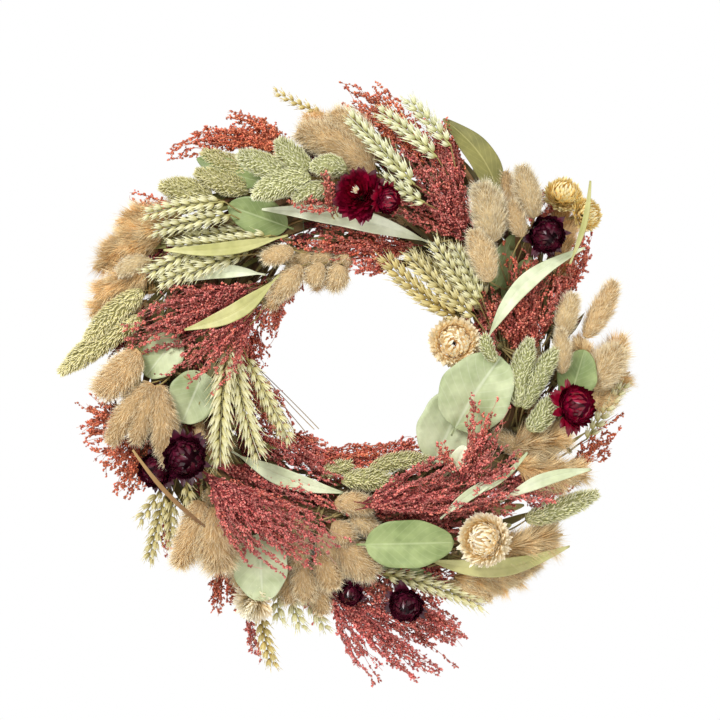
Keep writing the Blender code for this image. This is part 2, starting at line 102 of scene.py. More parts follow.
# name: (slot, foot, tip, width in mm, sideways bow in mm, forward arch in mm, bluntness)
LEAVES = {
    "eucalyptus_1": ("leaf_green", (336, 156), (323, 205), 20, 2, 3, 0.75),
    "eucalyptus_2": ("leaf_green", (337, 116), (322, 159), 30, 0, 4, 0.6),
    "eucalyptus_3": ("leaf_olive", (46, 172), (21, 210), 21, -9, 4, 0.8),
    "eucalyptus_4": ("leaf_green", (101, 178), (87, 188), 30, 0, 3, 0.6),
    "eucalyptus_5": ("leaf_pale", (126, 100), (88, 120), 56, 2, 4, 0.45),
    "eucalyptus_6": ("leaf_pale", (143, 108), (102, 97), 50, 0, 5, 0.45),
    "eucalyptus_7": ("leaf_green", (178, 145), (150, 165), 37, 0, 4, 0.5),
    "eucalyptus_8": ("leaf_pale", (209, 150), (200, 203), 42, 0, 4, 0.5),
    "eucalyptus_9": ("leaf_pale", (268, 116), (250, 143), 38, 0, 3, 0.5),
    "eucalyptus_10": ("leaf_pale", (280, 138), (266, 164), 31, 0, 3, 0.5),
    "willow_leaf_1": ("leaf_pale", (37, 117), (330, 141), 15, -7, 5, 1.0),
    "willow_leaf_2": ("leaf_olive", (321, 89), (281, 133), 12, 8, 4, 1.1),
    "willow_leaf_3": ("leaf_pale", (83, 108), (64, 209), 12, 13, 8, 1.1),
    "willow_leaf_4": ("leaf_pale", (233, 119), (183, 105), 13, -5, 3, 1.1),
    "willow_leaf_5": ("leaf_olive", (161, 164), (130, 231), 13, -13, 3, 1.0),
}

# name: (kind, foot, ((base, tip, width in mm) of each head))
BUNCHES = {
    "wheat_1": ("wheat", (333, 105), (
        ((322, 162), (305, 203), 15), ((321, 151), (303, 189), 15), ((328, 119), (302, 174), 16),
        ((310, 151), (293, 177), 16), ((309, 139), (292, 165), 15), ((314, 122), (298, 145), 16))),
    "wheat_2": ("wheat", (39, 152), (
        ((20, 150), (359, 198), 17), ((23, 177), (6, 201), 16),
        ((25, 190), (12, 215), 15), ((25, 140), (10, 148), 14))),
    "wheat_3": ("wheat", (84, 121), (
        ((68, 94), (16, 91), 18), ((70, 106), (27, 98), 17),
        ((66, 113), (34, 117), 16), ((64, 117), (41, 125), 14))),
    "wheat_4": ("wheat", (288, 103), (
        ((278, 97), (230, 133), 21), ((275, 92), (221, 106), 19), ((272, 82), (214, 80), 14))),
    "wheat_5": ("wheat", (238, 165), (
        ((236, 184), (233, 212), 13), ((234, 184), (225, 231), 14),
        ((233, 179), (224, 205), 14), ((234, 163), (221, 188), 14))),
    "wheat_6": ("wheat", (175, 165), (
        ((166, 180), (151, 226), 16), ((171, 172), (157, 199), 16))),
    "phalaris_1": ("phalaris", (1, 141), (
        ((348, 155), (342, 184), 22), ((341, 160), (332, 186), 21), ((348, 150), (330, 152), 24),
        ((359, 153), (349, 157), 19), ((354, 139), (341, 135), 16))),
    "phalaris_2": ("phalaris", (292, 157), (
        ((289, 176), (275, 212), 22), ((282, 172), (268, 234), 23))),
    "phalaris_3": ("phalaris", (112, 144), (
        ((105, 138), (83, 144), 21), ((105, 143), (86, 167), 18), ((111, 153), (100, 164), 20))),
    "phalaris_4": ("phalaris", (191, 93), (
        ((170, 88), (141, 101), 16), ((184, 95), (158, 107), 19))),
    "phalaris_5": ("phalaris", (139, 182), (
        ((132, 190), (118, 226), 20),)),
    "bunny_tail_1": ("bunny", (65, 141), (
        ((50, 148), (36, 174), 28), ((54, 169), (45, 179), 16),
        ((52, 186), (41, 206), 21), ((60, 128), (43, 142), 21))),
    "bunny_tail_2": ("bunny", (100, 182), (
        ((83, 172), (73, 187), 19), ((84, 190), (73, 223), 19), ((96, 195), (87, 218), 27))),
    "bunny_tail_3": ("bunny", (16, 143), (
        ((7, 153), (347, 189), 30), ((6, 163), (356, 201), 26))),
    "bunny_tail_4": ("bunny", (0, 85), (
        ((333, 86), (310, 80), 19), ((344, 82), (332, 71), 16),
        ((355, 78), (345, 60), 20), ((333, 100), (320, 107), 16))),
    "bunny_tail_5": ("plume", (311, 164), (
        ((308, 185), (298, 215), 22), ((303, 181), (294, 219), 16), ((297, 180), (284, 213), 22))),
    "bunny_tail_6": ("bunny", (267, 143), (
        ((273, 168), (263, 203), 27), ((264, 159), (251, 202), 19),
        ((263, 156), (249, 182), 18), ((263, 153), (240, 165), 22))),
    "bunny_tail_7": ("bunny", (232, 150), (
        ((223, 157), (212, 195), 34), ((227, 161), (220, 212), 26))),
    "bunny_tail_8": ("bunny", (192, 129), (
        ((193, 165), (190, 194), 21), ((189, 157), (184, 181), 22), ((183, 147), (173, 169), 27),
        ((186, 113), (171, 117), 18), ((186, 130), (179, 142), 19))),
    "bunny_tail_9": ("plume", (126, 128), (
        ((120, 143), (107, 187), 27), ((122, 156), (115, 208), 27))),
    "bunny_tail_10": ("plume", (154, 178), (
        ((144, 189), (129, 221), 29), ((154, 192), (144, 224), 19))),
    "broom_corn_1": ("broom", (349, 173), (
        ((344, 176), (319, 224), 14), ((344, 178), (326, 222), 14),
        ((344, 181), (333, 222), 14), ((344, 178), (338, 212), 13))),
    "broom_corn_2": ("broom", (34, 115), (
        ((29, 107), (331, 121), 19), ((27, 100), (347, 86), 19))),
    "broom_corn_3": ("broom", (315, 92), (
        ((307, 97), (279, 183), 24), ((303, 94), (274, 183), 19),
        ((308, 101), (289, 168), 19), ((303, 93), (269, 102), 19))),
    "broom_corn_4": ("broom", (50, 136), (
        ((43, 138), (12, 185), 21), ((43, 138), (20, 184), 22),
        ((42, 147), (21, 208), 13), ((43, 135), (15, 131), 21))),
    "broom_corn_5": ("broom", (95, 140), (
        ((86, 140), (54, 165), 21), ((86, 141), (57, 181), 14),
        ((86, 144), (64, 188), 22), ((86, 136), (60, 120), 16))),
    "broom_corn_6": ("broom", (251, 167), (
        ((253, 178), (262, 217), 13), ((252, 178), (254, 228), 22), ((251, 179), (242, 217), 22))),
    "broom_corn_7": ("broom", (238, 149), (
        ((231, 142), (181, 153), 27), ((231, 142), (185, 165), 22),
        ((230, 144), (196, 171), 26), ((230, 144), (207, 163), 22))),
    "broom_corn_8": ("broom", (189, 180), (
        ((185, 188), (174, 259), 22), ((184, 188), (167, 264), 21),
        ((184, 188), (162, 268), 19), ((184, 186), (157, 243), 21))),
    "broom_corn_9": ("broom", (182, 120), (
        ((174, 116), (123, 197), 24), ((173, 113), (121, 169), 26), ((173, 111), (127, 120), 22))),
}

# How far a bunch, or each of its heads, goes from its slot's main colour to its other one.
OTHER_COLOUR = {
    "wheat_1": 0.25, "wheat_2": 0.05, "wheat_3": (0.9, 0.65, 0.35, 0.2), "wheat_4": 0.35,
    "wheat_5": 0.6, "wheat_6": 0.35, "phalaris_1": 0.1, "phalaris_2": 1.0, "phalaris_3": 0.0,
    "phalaris_4": 0.55, "phalaris_5": 0.2, "bunny_tail_1": (0.0, 0.5, 0.15, 0.3),
    "bunny_tail_2": (0.1, 0.55, 0.3), "bunny_tail_3": 0.55, "bunny_tail_4": 0.4,
    "bunny_tail_6": 0.75, "bunny_tail_7": 0.85, "bunny_tail_8": 0.6, "broom_corn_1": 0.95,
    "broom_corn_2": 0.45, "broom_corn_3": 0.1, "broom_corn_4": 0.15, "broom_corn_5": 0.4,
    "broom_corn_6": 0.95, "broom_corn_7": 0.0, "broom_corn_8": 0.1, "broom_corn_9": 0.05,
    "willow_leaf_2": 0.8, "willow_leaf_5": 0.75, "eucalyptus_3": 0.0, "willow_leaf_1": 0.0,
    "willow_leaf_3": 0.5, "willow_leaf_4": 0.5, "eucalyptus_7": 0.62, "eucalyptus_5": 0.9,
    "eucalyptus_1": 0.9, "eucalyptus_2": 0.75, "eucalyptus_4": 0.7, "eucalyptus_9": 1.0,
    "eucalyptus_6": 0.66, "eucalyptus_8": 0.75, "eucalyptus_10": 1.0,
    "small_leaf_1": 0.6, "small_leaf_2": 0.9, "small_leaf_3": 0.5,
}

# form: how the bracts stand. bracts: how many. width: of a bract, over the flower's radius
BLOOMS = {
    "strawflower_1": {"form": "open", "bracts": 130, "width": 0.21, "tuft": True},
    "strawflower_2": {"form": "pleated", "bracts": 300, "width": 0.12, "tuft": False},
    "strawflower_3": {"form": "pleated", "bracts": 300, "width": 0.12, "tuft": False},
    "strawflower_4": {"form": "bud", "bracts": 120, "width": 0.24, "tuft": False},
    "strawflower_5": {"form": "pleated", "bracts": 380, "width": 0.11, "tuft": True},
    "strawflower_6": {"form": "bud", "bracts": 130, "width": 0.20, "tuft": False, "shade": 0.4},
    "strawflower_7": {"form": "pleated", "bracts": 520, "width": 0.10, "tuft": True},
    "strawflower_8": {"form": "bud", "bracts": 110, "width": 0.24, "tuft": False},
    "strawflower_9": {"form": "open", "bracts": 190, "width": 0.13, "tuft": True, "grow": 1.15},
    "strawflower_10": {"form": "bud", "bracts": 130, "width": 0.22, "tuft": False},
    "strawflower_11": {"form": "bud", "bracts": 120, "width": 0.24, "tuft": False},
    "strawflower_12": {"form": "bud", "bracts": 90, "width": 0.24, "tuft": False},
    "strawflower_13": {"form": "bud", "bracts": 110, "width": 0.24, "tuft": False, "shade": 0.4},
}

# Picks with no CAD solid. They lie over or under what is there; the rest is as in the tables above.
MORE_FLOWERS = {
    "strawflower_12": ("strawflower_plum", (180, 186), 11, (200, 30)),
    "strawflower_13": ("strawflower_crimson", (13, 130), 12, (110, 50)),
}

MORE_LEAVES = {
    "small_leaf_1": ("leaf_green", (65, 126), (52, 166), 17, 1, 3, 0.7, "over"),
    "small_leaf_2": ("leaf_green", (68, 130), (60, 168), 14, 0, 2, 0.7, "under"),
    "small_leaf_3": ("leaf_green", (174, 168), (159, 184), 12, 0, 2, 0.6, "under"),
    "small_leaf_4": ("leaf_pale", (137, 119), (126, 112), 12, 0, 2, 0.6, "over"),
    "thin_blade_1": ("leaf_olive", (334, 112), (301, 172), 9, 5, 5, 1.1, "over"),
    "thin_blade_2": ("leaf_pale", (316, 97), (296, 147), 9, -5, 3, 1.1, "over"),
    "thin_blade_3": ("leaf_olive", (66, 190), (53, 240), 3, -3, 4, 1.0, "over"),
    "thin_blade_4": ("stems", (219, 172), (248, 184), 2, 4, 3, 0.9, "over"),
    "thin_blade_5": ("leaf_pale", (133, 162), (114, 209), 9, 5, 3, 1.0, "over"),
    "thin_blade_6": ("leaf_pale", (150, 143), (126, 151), 7, 3, 4, 1.0, "over"),
    "thin_blade_7": ("leaf_pale", (137, 144), (117, 157), 3, -3, 4, 0.9, "over"),
}

MORE_BUNCHES = {
    "wheat_spike": ("wheat", (0, 190), (((354, 201), (344, 230), 9),), "under"),
    "wheat_ear_low": ("wheat", (203, 200), (((200, 213), (194, 256), 14),), "under"),
    "wheat_bits": ("wheat", (193, 170), (
        ((197, 190), (195, 216), 14), ((195, 190), (190, 219), 14), ((192, 190), (185, 217), 13)), "under"),
    "wheat_side": ("wheat", (112, 190), (((108, 201), (94, 224), 14),), "under"),
    "phalaris_left": ("phalaris", (330, 150), (
        ((330, 160), (321, 196), 22), ((320, 172), (313, 208), 24), ((334, 172), (325, 206), 18)), "under"),
    "wheat_inner": ("wheat", (76, 116), (
        ((68, 115), (25, 100), 14), ((66, 119), (40, 120), 15)), "under"),
    "wheat_left": ("wheat", (330, 118), (
        ((326, 128), (306, 168), 15), ((318, 122), (297, 152), 15)), "under"),
    "tail_top": ("bunny", (55, 160), (((49, 172), (39, 197), 16),), "under"),
    "tail_right": ("bunny", (96, 165), (((93, 170), (81, 168), 15),), "over"),
    "tail_inner": ("bunny", (121, 165), (((119, 158), (117, 126), 15),), "under"),
    "tail_low": ("bunny", (160, 185), (
        ((156, 194), (149, 223), 15), ((150, 186), (140, 222), 22)), "under"),
    "plume_right": ("plume", (100, 178), (
        ((97, 192), (84, 222), 22), ((101, 196), (92, 228), 18), ((98, 188), (98, 220), 22)), "under"),
    "tail_left": ("bunny", (300, 164), (((297, 179), (291, 199), 15),), "over"),
    "plume_top": ("plume", (62, 184), (((60, 192), (50, 226), 16),), "under"),
    "plume_low": ("plume", (150, 176), (
        ((146, 184), (134, 222), 24), ((152, 184), (140, 226), 20)), "under"),
    "plume_left": ("plume", (300, 170), (
        ((303, 182), (290, 222), 22), ((294, 176), (280, 214), 20), ((311, 180), (301, 222), 18)), "under"),
    "tails_inner_top": ("bunny", (352, 92), (
        ((350, 92), (338, 84), 18), ((341, 94), (326, 88), 17), ((0, 90), (349, 74), 18)), "under"),
    "tails_low_left": ("bunny", (226, 150), (
        ((228, 150), (217, 178), 22), ((217, 160), (206, 200), 24)), "under"),
    "tails_low": ("bunny", (200, 140), (
        ((199, 140), (194, 176), 22), ((190, 140), (182, 174), 22), ((180, 120), (170, 140), 18)), "under"),
    "spray_left": ("broom", (316, 170), (((312, 186), (307, 225), 10),), "under"),
    "spray_top": ("broom", (24, 158), (
        ((20, 172), (358, 227), 14), ((21, 175), (5, 227), 14), ((17, 174), (359, 210), 13)), "under"),
    "spray_right": ("broom", (80, 165), (
        ((75, 176), (60, 222), 20), ((74, 172), (62, 206), 17)), "under"),
    "spray_inner": ("broom", (262, 112), (
        ((247, 106), (205, 96), 23), ((232, 103), (178, 97), 21), ((212, 88), (172, 88), 16)), "under"),
    "spray_sparse": ("broom", (137, 140), (
        ((135, 128), (104, 101), 12), ((134, 131), (104, 126), 13), ((136, 122), (132, 94), 11),
        ((137, 130), (118, 112), 12)), "over"),
    "spray_over_left": ("broom", (305, 86), (
        ((292, 95), (267, 150), 13), ((291, 90), (262, 132), 13), ((290, 85), (258, 111), 11)), "over"),
    "spray_edge_left": ("broom", (252, 168), (
        ((253, 175), (257, 218), 15), ((250, 174), (247, 223), 17), ((249, 172), (239, 211), 16)), "under"),
    "spray_upper_low": ("broom", (236, 144), (
        ((232, 137), (182, 125), 22), ((231, 132), (188, 112), 20)), "under"),
    "spray_right_low": ("broom", (174, 121), (
        ((169, 122), (133, 184), 22), ((172, 124), (142, 170), 18)), "under"),
    "spray_inner_low": ("broom", (212, 92), (
        ((204, 86), (150, 88), 15), ((194, 86), (140, 94), 15)), "under"),
    "spray_mid_right": ("broom", (96, 122), (
        ((94, 120), (64, 114), 15), ((88, 116), (70, 100), 12)), "under"),
    "spray_behind": ("broom", (60, 176), (((57, 180), (49, 212), 15),), "under"),
    "plume_mid": ("plume", (66, 180), (
        ((65, 187), (56, 213), 18), ((69, 180), (60, 202), 15)), "under"),
    "phalaris_small": ("phalaris", (92, 118), (((90, 115), (79, 108), 11),), "over"),
    "phalaris_low": ("phalaris", (200, 98), (((194, 95), (179, 82), 14),), "under"),
    "wheat_behind": ("wheat", (275, 92), (((262, 78), (220, 80), 15),), "under"),
    "spray_gap_left": ("broom", (322, 98), (
        ((314, 96), (286, 92), 17), ((306, 102), (276, 98), 18), ((296, 97), (262, 90), 14)), "under"),
    "spray_mid_low": ("broom", (142, 138), (
        ((137, 136), (117, 146), 20), ((136, 127), (119, 130), 16)), "over"),
    "spray_bottom_fill": ("broom", (166, 162), (
        ((167, 170), (173, 204), 18), ((161, 170), (159, 206), 18)), "under"),
    "spray_rim_low": ("broom", (232, 90), (((222, 80), (194, 73), 12),), "under"),
    "spray_rim_right": ("broom", (166, 92), (((160, 84), (138, 83), 12),), "under"),
    "spray_rim_top": ("broom", (34, 98), (((26, 90), (4, 79), 14),), "under"),
    "tail_rim": ("bunny", (346, 92), (((344, 84), (334, 64), 14),), "under"),
    "spray_gap_right": ("broom", (130, 150), (
        ((127, 158), (118, 206), 18), ((126, 160), (126, 200), 16)), "under"),
    "spray_inner_left": ("broom", (345, 92), (
        ((338, 84), (295, 78), 18), ((318, 80), (281, 73), 17), ((290, 80), (262, 76), 14)), "under"),
    "spray_behind_wheat": ("broom", (275, 88), (
        ((266, 82), (221, 84), 18), ((268, 88), (232, 92), 16)), "under"),
    "tails_inner_left": ("bunny", (330, 96), (
        ((330, 85), (312, 77), 15), ((322, 88), (303, 79), 15)), "under"),
    "tails_bottom": ("bunny", (196, 158), (
        ((198, 165), (194, 200), 20), ((190, 172), (186, 204), 19)), "under"),
    "spray_bottom": ("broom", (194, 164), (
        ((193, 172), (187, 210), 13), ((182, 168), (168, 195), 17)), "under"),
    "spray_bottom_right": ("broom", (166, 156), (
        ((163, 165), (151, 203), 15), ((168, 160), (160, 196), 15)), "under"),
    "plume_beside": ("plume", (104, 176), (
        ((98, 190), (83, 184), 15), ((125, 172), (114, 214), 18)), "under"),
    "plume_bottom_right": ("plume", (148, 190), (((145, 202), (136, 226), 15),), "under"),
    "plume_over_top": ("plume", (2, 168), (((359, 177), (349, 202), 18),), "under"),
    "spray_top_right": ("broom", (34, 158), (
        ((30, 168), (13, 208), 14), ((32, 170), (20, 206), 13)), "under"),
    "spray_edge": ("broom", (118, 185), (
        ((115, 196), (101, 228), 12), ((115, 200), (107, 225), 10)), "under"),
    "spray_low_left": ("broom", (214, 175), (
        ((212, 190), (208, 230), 10), ((210, 192), (205, 219), 9)), "under"),
    "spray_drop": ("broom", (203, 212), (((202, 224), (197, 258), 6),), "under"),
    "spray_drop_left": ("broom", (231, 178), (((230, 190), (223, 215), 8),), "under"),
    "spray_low_right": ("broom", (174, 180), (
        ((169, 190), (157, 244), 15), ((168, 196), (160, 250), 14)), "under"),
    "spray_beside": ("broom", (356, 112), (
        ((353, 117), (353, 151), 8), ((354, 121), (340, 135), 9)), "over"),
}

OTHER_COLOUR.update({
    "spray_gap_left": 0.3, "spray_gap_right": 0.1, "spray_mid_low": 0.05, "spray_bottom_fill": 0.2,
    "spray_rim_low": 0.6, "spray_rim_right": 0.2, "spray_rim_top": 0.5, "tail_rim": 0.7,
    "thin_blade_1": 0.8, "thin_blade_3": 0.7, "thin_blade_5": 0.35, "thin_blade_4": 0.9,
    "thin_blade_6": 0.5, "thin_blade_7": 0.8, "wheat_spike": 0.9, "wheat_ear_low": 0.9, "wheat_bits": 0.3,
    "wheat_side": 0.3, "phalaris_left": 0.8, "tail_top": 0.6, "spray_top": 0.9,
    "spray_right": 0.5, "spray_inner": 0.1, "spray_edge": 1.0, "spray_left": 0.7,
    "spray_low_left": 0.8, "tail_low": 0.6, "spray_beside": 0.3, "spray_sparse": 0.3,
    "spray_edge_left": 0.95, "spray_over_left": 0.2, "spray_upper_low": 0.0, "spray_right_low": 0.1,
    "spray_inner_low": 0.6, "tail_left": 0.0, "wheat_inner": 0.5, "plume_right": 0.7,
    "plume_left": 0.4, "plume_low": 0.7, "bunny_tail_5": 0.35, "bunny_tail_9": 0.7,
    "bunny_tail_10": 0.8, "spray_mid_right": 0.2, "spray_behind": 0.3, "plume_mid": 0.3,
    "plume_top": 0.3, "phalaris_small": 0.0, "phalaris_low": 0.5, "plume_over_top": 0.2,
    "plume_beside": 0.7, "plume_bottom_right": 0.9, "wheat_behind": 0.6, "spray_inner_left": 0.6,
    "spray_bottom": 0.5, "spray_top_right": 0.5, "tails_inner_left": 0.7, "tails_bottom": 0.7,
})
# sprays with few branches
SPARSE = (
    "spray_sparse", "spray_over_left", "spray_drop", "spray_drop_left", "spray_edge",
    "spray_left", "spray_beside",
)


def random_for(name):
    """A random generator that depends only on the name."""
    return np.random.default_rng(zlib.crc32(name.encode()))


# ---------------------------------------------------------------- places


def polar(clock, radius, y=0.0):
    """The point at a clock bearing in degrees and a radius in metres."""
    turn = math.radians(clock)
    return np.array((radius * math.sin(turn), y, RING_CENTRE_Z + radius * math.cos(turn)))


def crown_y(radius):
    """The y on which a pick rests: furthest forward over the middle of the band."""
    across = min(abs(radius - CROWN_MID_R) / CROWN_HALF_R, 1.0)
    return -(CROWN_EDGE_Y + CROWN_RISE * math.sqrt(1.0 - across * across))


def on_crown(place, lift=0.0):
    clock, radius = place[0], place[1] * MM
    return polar(clock, radius, crown_y(radius) - lift)


def points_of(node):
    """The node's vertices as an array."""
    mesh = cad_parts[node].data
    points = np.empty(len(mesh.vertices) * 3, np.float32)
    mesh.vertices.foreach_get("co", points)
    return points.reshape(-1, 3).astype(float)


# vertices this close to an anchor, as seen from the front, belong to it
NEAR = 0.0035


def forward_of(node, anchors):
    """How far the CAD model's laying brought a pick forward of its place on the crown."""
    points = points_of(node)
    gaps = []
    for anchor in anchors:
        off = np.hypot(points[:, 0] - anchor[0], points[:, 2] - anchor[2])
        if (off < NEAR).any():
            gaps.append(anchor[1] - points[off < NEAR, 1].mean())
    return max(float(np.median(gaps)), 0.0) if gaps else 0.0


def tree_of_all():
    """One search tree of every CAD surface."""
    points, polygons = [], []
    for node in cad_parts.values():
        start = len(points)
        points += [tuple(v.co) for v in node.data.vertices]
        polygons += [tuple(start + i for i in face.vertices) for face in node.data.polygons]
    return BVHTree.FromPolygons(points, polygons)


CAD_TREE = tree_of_all()
# a piece over the CAD surfaces clears them by the gap, and one under lies back by the drop
OVER_GAP, UNDER_DROP = 0.0025, 0.010
# a y well in front of the wreath
FAR_FRONT_Y = -0.5


def forward_over(samples):
    """How far forward these points go to lie over everything the CAD model has there."""
    forward = -UNDER_DROP
    for point in samples:
        hit = CAD_TREE.ray_cast(Vector((point[0], FAR_FRONT_Y, point[2])), Vector((0, 1, 0)))
        if hit[0] is not None:
            forward = max(forward, point[1] - hit[0].y + OVER_GAP)
    return forward


# ---------------------------------------------------------------- mesh making


def unit(vectors):
    return vectors / np.maximum(np.linalg.norm(vectors, axis=-1, keepdims=True), 1e-12)


class Shape:
    """Triangles gathered for one piece, each vertex with the numbers that its material reads.

    along: from the foot to the tip of its element. tone: how bright its element is.
    hue: from the slot's main colour to its other one. across: from edge to edge of a leaf.
    """

    def __init__(self):
        self.points, self.faces, self.slots = [], [], []
        self.numbers = {"along": [], "tone": [], "hue": [], "across": []}
        self.count = 0

    def add(self, points, faces, slot=0, **numbers):
        self.points.append(points)
        self.faces.append(faces + self.count)
        self.slots.append(np.full(len(faces), slot, np.int32))
        for key, gathered in self.numbers.items():
            value = np.asarray(numbers.get(key, 0.5), float)
            gathered.append(np.broadcast_to(value, (len(points),)))
        self.count += len(points)

    def build(self, name, materials):
        """The piece as an object of the scene, with these materials."""
        points = np.concatenate(self.points).astype(np.float32)
        faces = np.concatenate(self.faces).astype(np.int32)
        mesh = bpy.data.meshes.new(name)
        mesh.vertices.add(len(points))
        mesh.vertices.foreach_set("co", points.ravel())
        mesh.loops.add(faces.size)
        mesh.loops.foreach_set("vertex_index", faces.ravel())
        mesh.polygons.add(len(faces))
        mesh.polygons.foreach_set("loop_start", np.arange(0, faces.size, 3, dtype=np.int32))
        mesh.polygons.foreach_set("material_index", np.concatenate(self.slots))
        mesh.polygons.foreach_set("use_smooth", np.ones(len(faces), bool))
        for key, gathered in self.numbers.items():
            layer = mesh.attributes.new(key, "FLOAT", "POINT")
            layer.data.foreach_set("value", np.concatenate(gathered).astype(np.float32))
        mesh.update(calc_edges=True)
        mesh.validate()
        for material in materials:
            mesh.materials.append(material)
        obj = bpy.data.objects.new(name, mesh)
        bpy.context.scene.collection.objects.link(obj)
        return obj


def grid_faces(rows, columns, closed=False):
    """Triangles of a grid of vertices, whose columns may close on themselves."""
    i, j = np.meshgrid(np.arange(rows - 1), np.arange(columns - (0 if closed else 1)), indexing="ij")
    nxt = (j + 1) % columns
    a, b = i * columns + j, i * columns + nxt
    c, d = (i + 1) * columns + nxt, (i + 1) * columns + j
    first, second = np.stack([a, b, c], -1), np.stack([a, c, d], -1)
    return np.concatenate([first.reshape(-1, 3), second.reshape(-1, 3)])


def turned(stations, sides, flatness=1.0, bend=0.0):
    """A body about +Z of height 1, from (height, radius) stations, as (points, faces, along)."""
    points, along = [], []
    for height, radius in stations:
        for k in range(sides):
            turn = math.tau * k / sides
            x = radius * math.cos(turn)
            y = radius * math.sin(turn) * flatness + bend * height * (1.0 - height) * 4.0
            points.append((x, y, height))
            along.append(height)
    faces = grid_faces(len(stations), sides, closed=True)
    return np.array(points), faces, np.array(along)


def sheet(half_widths, columns, cup, curl):
    """A thin blade along +Z of height 1, its edges and its tip turned toward +Y."""
    rows = len(half_widths)
    points, along = [], []
    for i, half in enumerate(half_widths):
        t = i / (rows - 1)
        for a in np.linspace(-1.0, 1.0, columns):
            points.append((a * half, cup * a * a * half + curl * t * t, t))
            along.append(t)
    return np.array(points), grid_faces(rows, columns), np.array(along)


def bipyramid(sides, middle):
    """A small seed about +Z of height 1, pointed at both ends."""
    points = [(0.0, 0.0, 0.0)]
    for k in range(sides):
        turn = math.tau * k / sides
        points.append((0.5 * math.cos(turn), 0.5 * math.sin(turn), middle))
    points.append((0.0, 0.0, 1.0))
    faces = []
    for k in range(sides):
        here, after = 1 + k, 1 + (k + 1) % sides
        faces += [(0, after, here), (here, after, sides + 1)]
    return np.array(points), np.array(faces), np.array([p[2] for p in points])


SEED = bipyramid(4, 0.45)
BEAD = turned(((0.0, 0.02), (0.2, 0.4), (0.55, 0.5), (0.85, 0.3), (1.0, 0.02)), 6)
GLUME = turned(
    ((0.0, 0.14), (0.2, 0.44), (0.42, 0.5), (0.66, 0.30), (0.85, 0.10), (1.0, 0.01)), 6, 0.75, 0.12)
SCALE = turned(((0.0, 0.2), (0.35, 0.5), (1.0, 0.01)), 4, 0.6, 0.06)
BRACT = sheet((0.30, 0.42, 0.50, 0.47, 0.30, 0.01), 5, 0.55, 1.0)
BLADE = sheet((0.15, 0.42, 0.5, 0.46, 0.36, 0.2, 0.01), 3, 0.3, 1.0)


def frames_to(directions, hints):
    """Axes, as rows, whose z is each direction and whose y is the hint as far as it can be."""
    z = unit(directions)
    x = unit(np.cross(hints, z))
    return np.stack([x, np.cross(z, x), z], axis=1)


def per_vertex(value, count, each):
    """One value, or one for each of count copies, repeated for every vertex of each copy."""
    return np.repeat(np.broadcast_to(value, (count,)), each)


def scatter(shape, template, origins, frames, sizes, slot=0, tone=0.5, hue=0.5):
    """Add a copy of the template at each origin. sizes are its (width, depth, length)."""
    points, faces, along = template
    count, each = len(origins), len(points)
    world = np.einsum("nmj,njk->nmk", points[None] * sizes[:, None, :], frames)
    world += origins[:, None, :]
    copies = faces[None] + (np.arange(count) * each)[:, None, None]
    shape.add(
        world.reshape(-1, 3), copies.reshape(-1, 3), slot, along=np.tile(along, count),
        tone=per_vertex(tone, count, each), hue=per_vertex(hue, count, each),
    )


def tubes(shape, paths, radii, sides, slot=0, tone=0.5, hue=0.5):
    """Add a tube along each path. paths is (tubes, points, 3), radii is (tubes, points)."""
    count, steps = paths.shape[:2]
    tangents = unit(np.gradient(paths, axis=1))
    helper = unit(np.array((0.21, 0.93, 0.17)))
    side = unit(np.cross(tangents, helper))
    other = np.cross(tangents, side)
    turn = math.tau * np.arange(sides) / sides
    ring = side[:, :, None] * np.cos(turn)[:, None] + other[:, :, None] * np.sin(turn)[:, None]
    world = paths[:, :, None] + ring * radii[:, :, None, None]
    each = steps * sides
    faces = grid_faces(steps, sides, closed=True)
    copies = faces[None] + (np.arange(count) * each)[:, None, None]
    along = np.repeat(np.linspace(0.0, 1.0, steps), sides)
    shape.add(
        world.reshape(-1, 3), copies.reshape(-1, 3), slot, along=np.tile(along, count),
        tone=per_vertex(tone, count, each), hue=per_vertex(hue, count, each),
    )


def hairs(shape, roots, directions, bends, lengths, width, rng, slot=0, tone=0.5, hue=0.5):
    """Add a thin tapered hair at each root. bends shift its tip."""
    count = len(roots)
    steps = np.array((0.0, 0.5, 1.0))
    middle = roots[:, None] + directions[:, None] * (lengths[:, None] * steps)[..., None]
    middle = middle + bends[:, None] * (steps * steps)[None, :, None]
    side = unit(np.cross(directions, rng.normal(size=(count, 3)))) * (width / 2)
    points = np.stack([
        middle[:, 0] - side, middle[:, 0] + side, middle[:, 1] - side * 0.75,
        middle[:, 1] + side * 0.75, middle[:, 2]], axis=1)
    faces = np.array(((0, 1, 3), (0, 3, 2), (2, 3, 4)))
    copies = faces[None] + (np.arange(count) * 5)[:, None, None]
    along = np.tile(np.array((0.0, 0.0, 0.5, 0.5, 1.0)), count)
    shape.add(
        points.reshape(-1, 3), copies.reshape(-1, 3), slot, along=along,
        tone=per_vertex(tone, count, 5), hue=per_vertex(hue, count, 5),
    )


class Spine:
    """The gently curved middle line of a head, from its base to its tip."""

    def __init__(self, base, tip, rng, bow=0.04):
        self.base, self.tip = base, tip
        self.length = float(np.linalg.norm(tip - base))
        self.axis = (tip - base) / self.length
        self.side = unit(np.cross(self.axis, -FORWARD))
        self.front = unit(FORWARD - self.axis * float(FORWARD @ self.axis))
        self.bow = self.side * rng.normal(0.0, bow) * self.length

    def at(self, t):
        t = np.asarray(t, float)[..., None]
        return self.base + (self.tip - self.base) * t + self.bow * 4.0 * t * (1.0 - t)

    def tangent(self, t):
        t = np.asarray(t, float)[..., None]
        return unit(self.tip - self.base + self.bow * 4.0 * (1.0 - 2.0 * t))

    def around(self, angle, flatness=1.0):
        """Unit directions away from the line, squeezed in depth."""
        angle = np.asarray(angle, float)[..., None]
        return self.side * np.cos(angle) + self.front * np.sin(angle) * flatness


def profile(t, outline):
    heights, radii = zip(*outline)
    return np.interp(t, heights, radii)


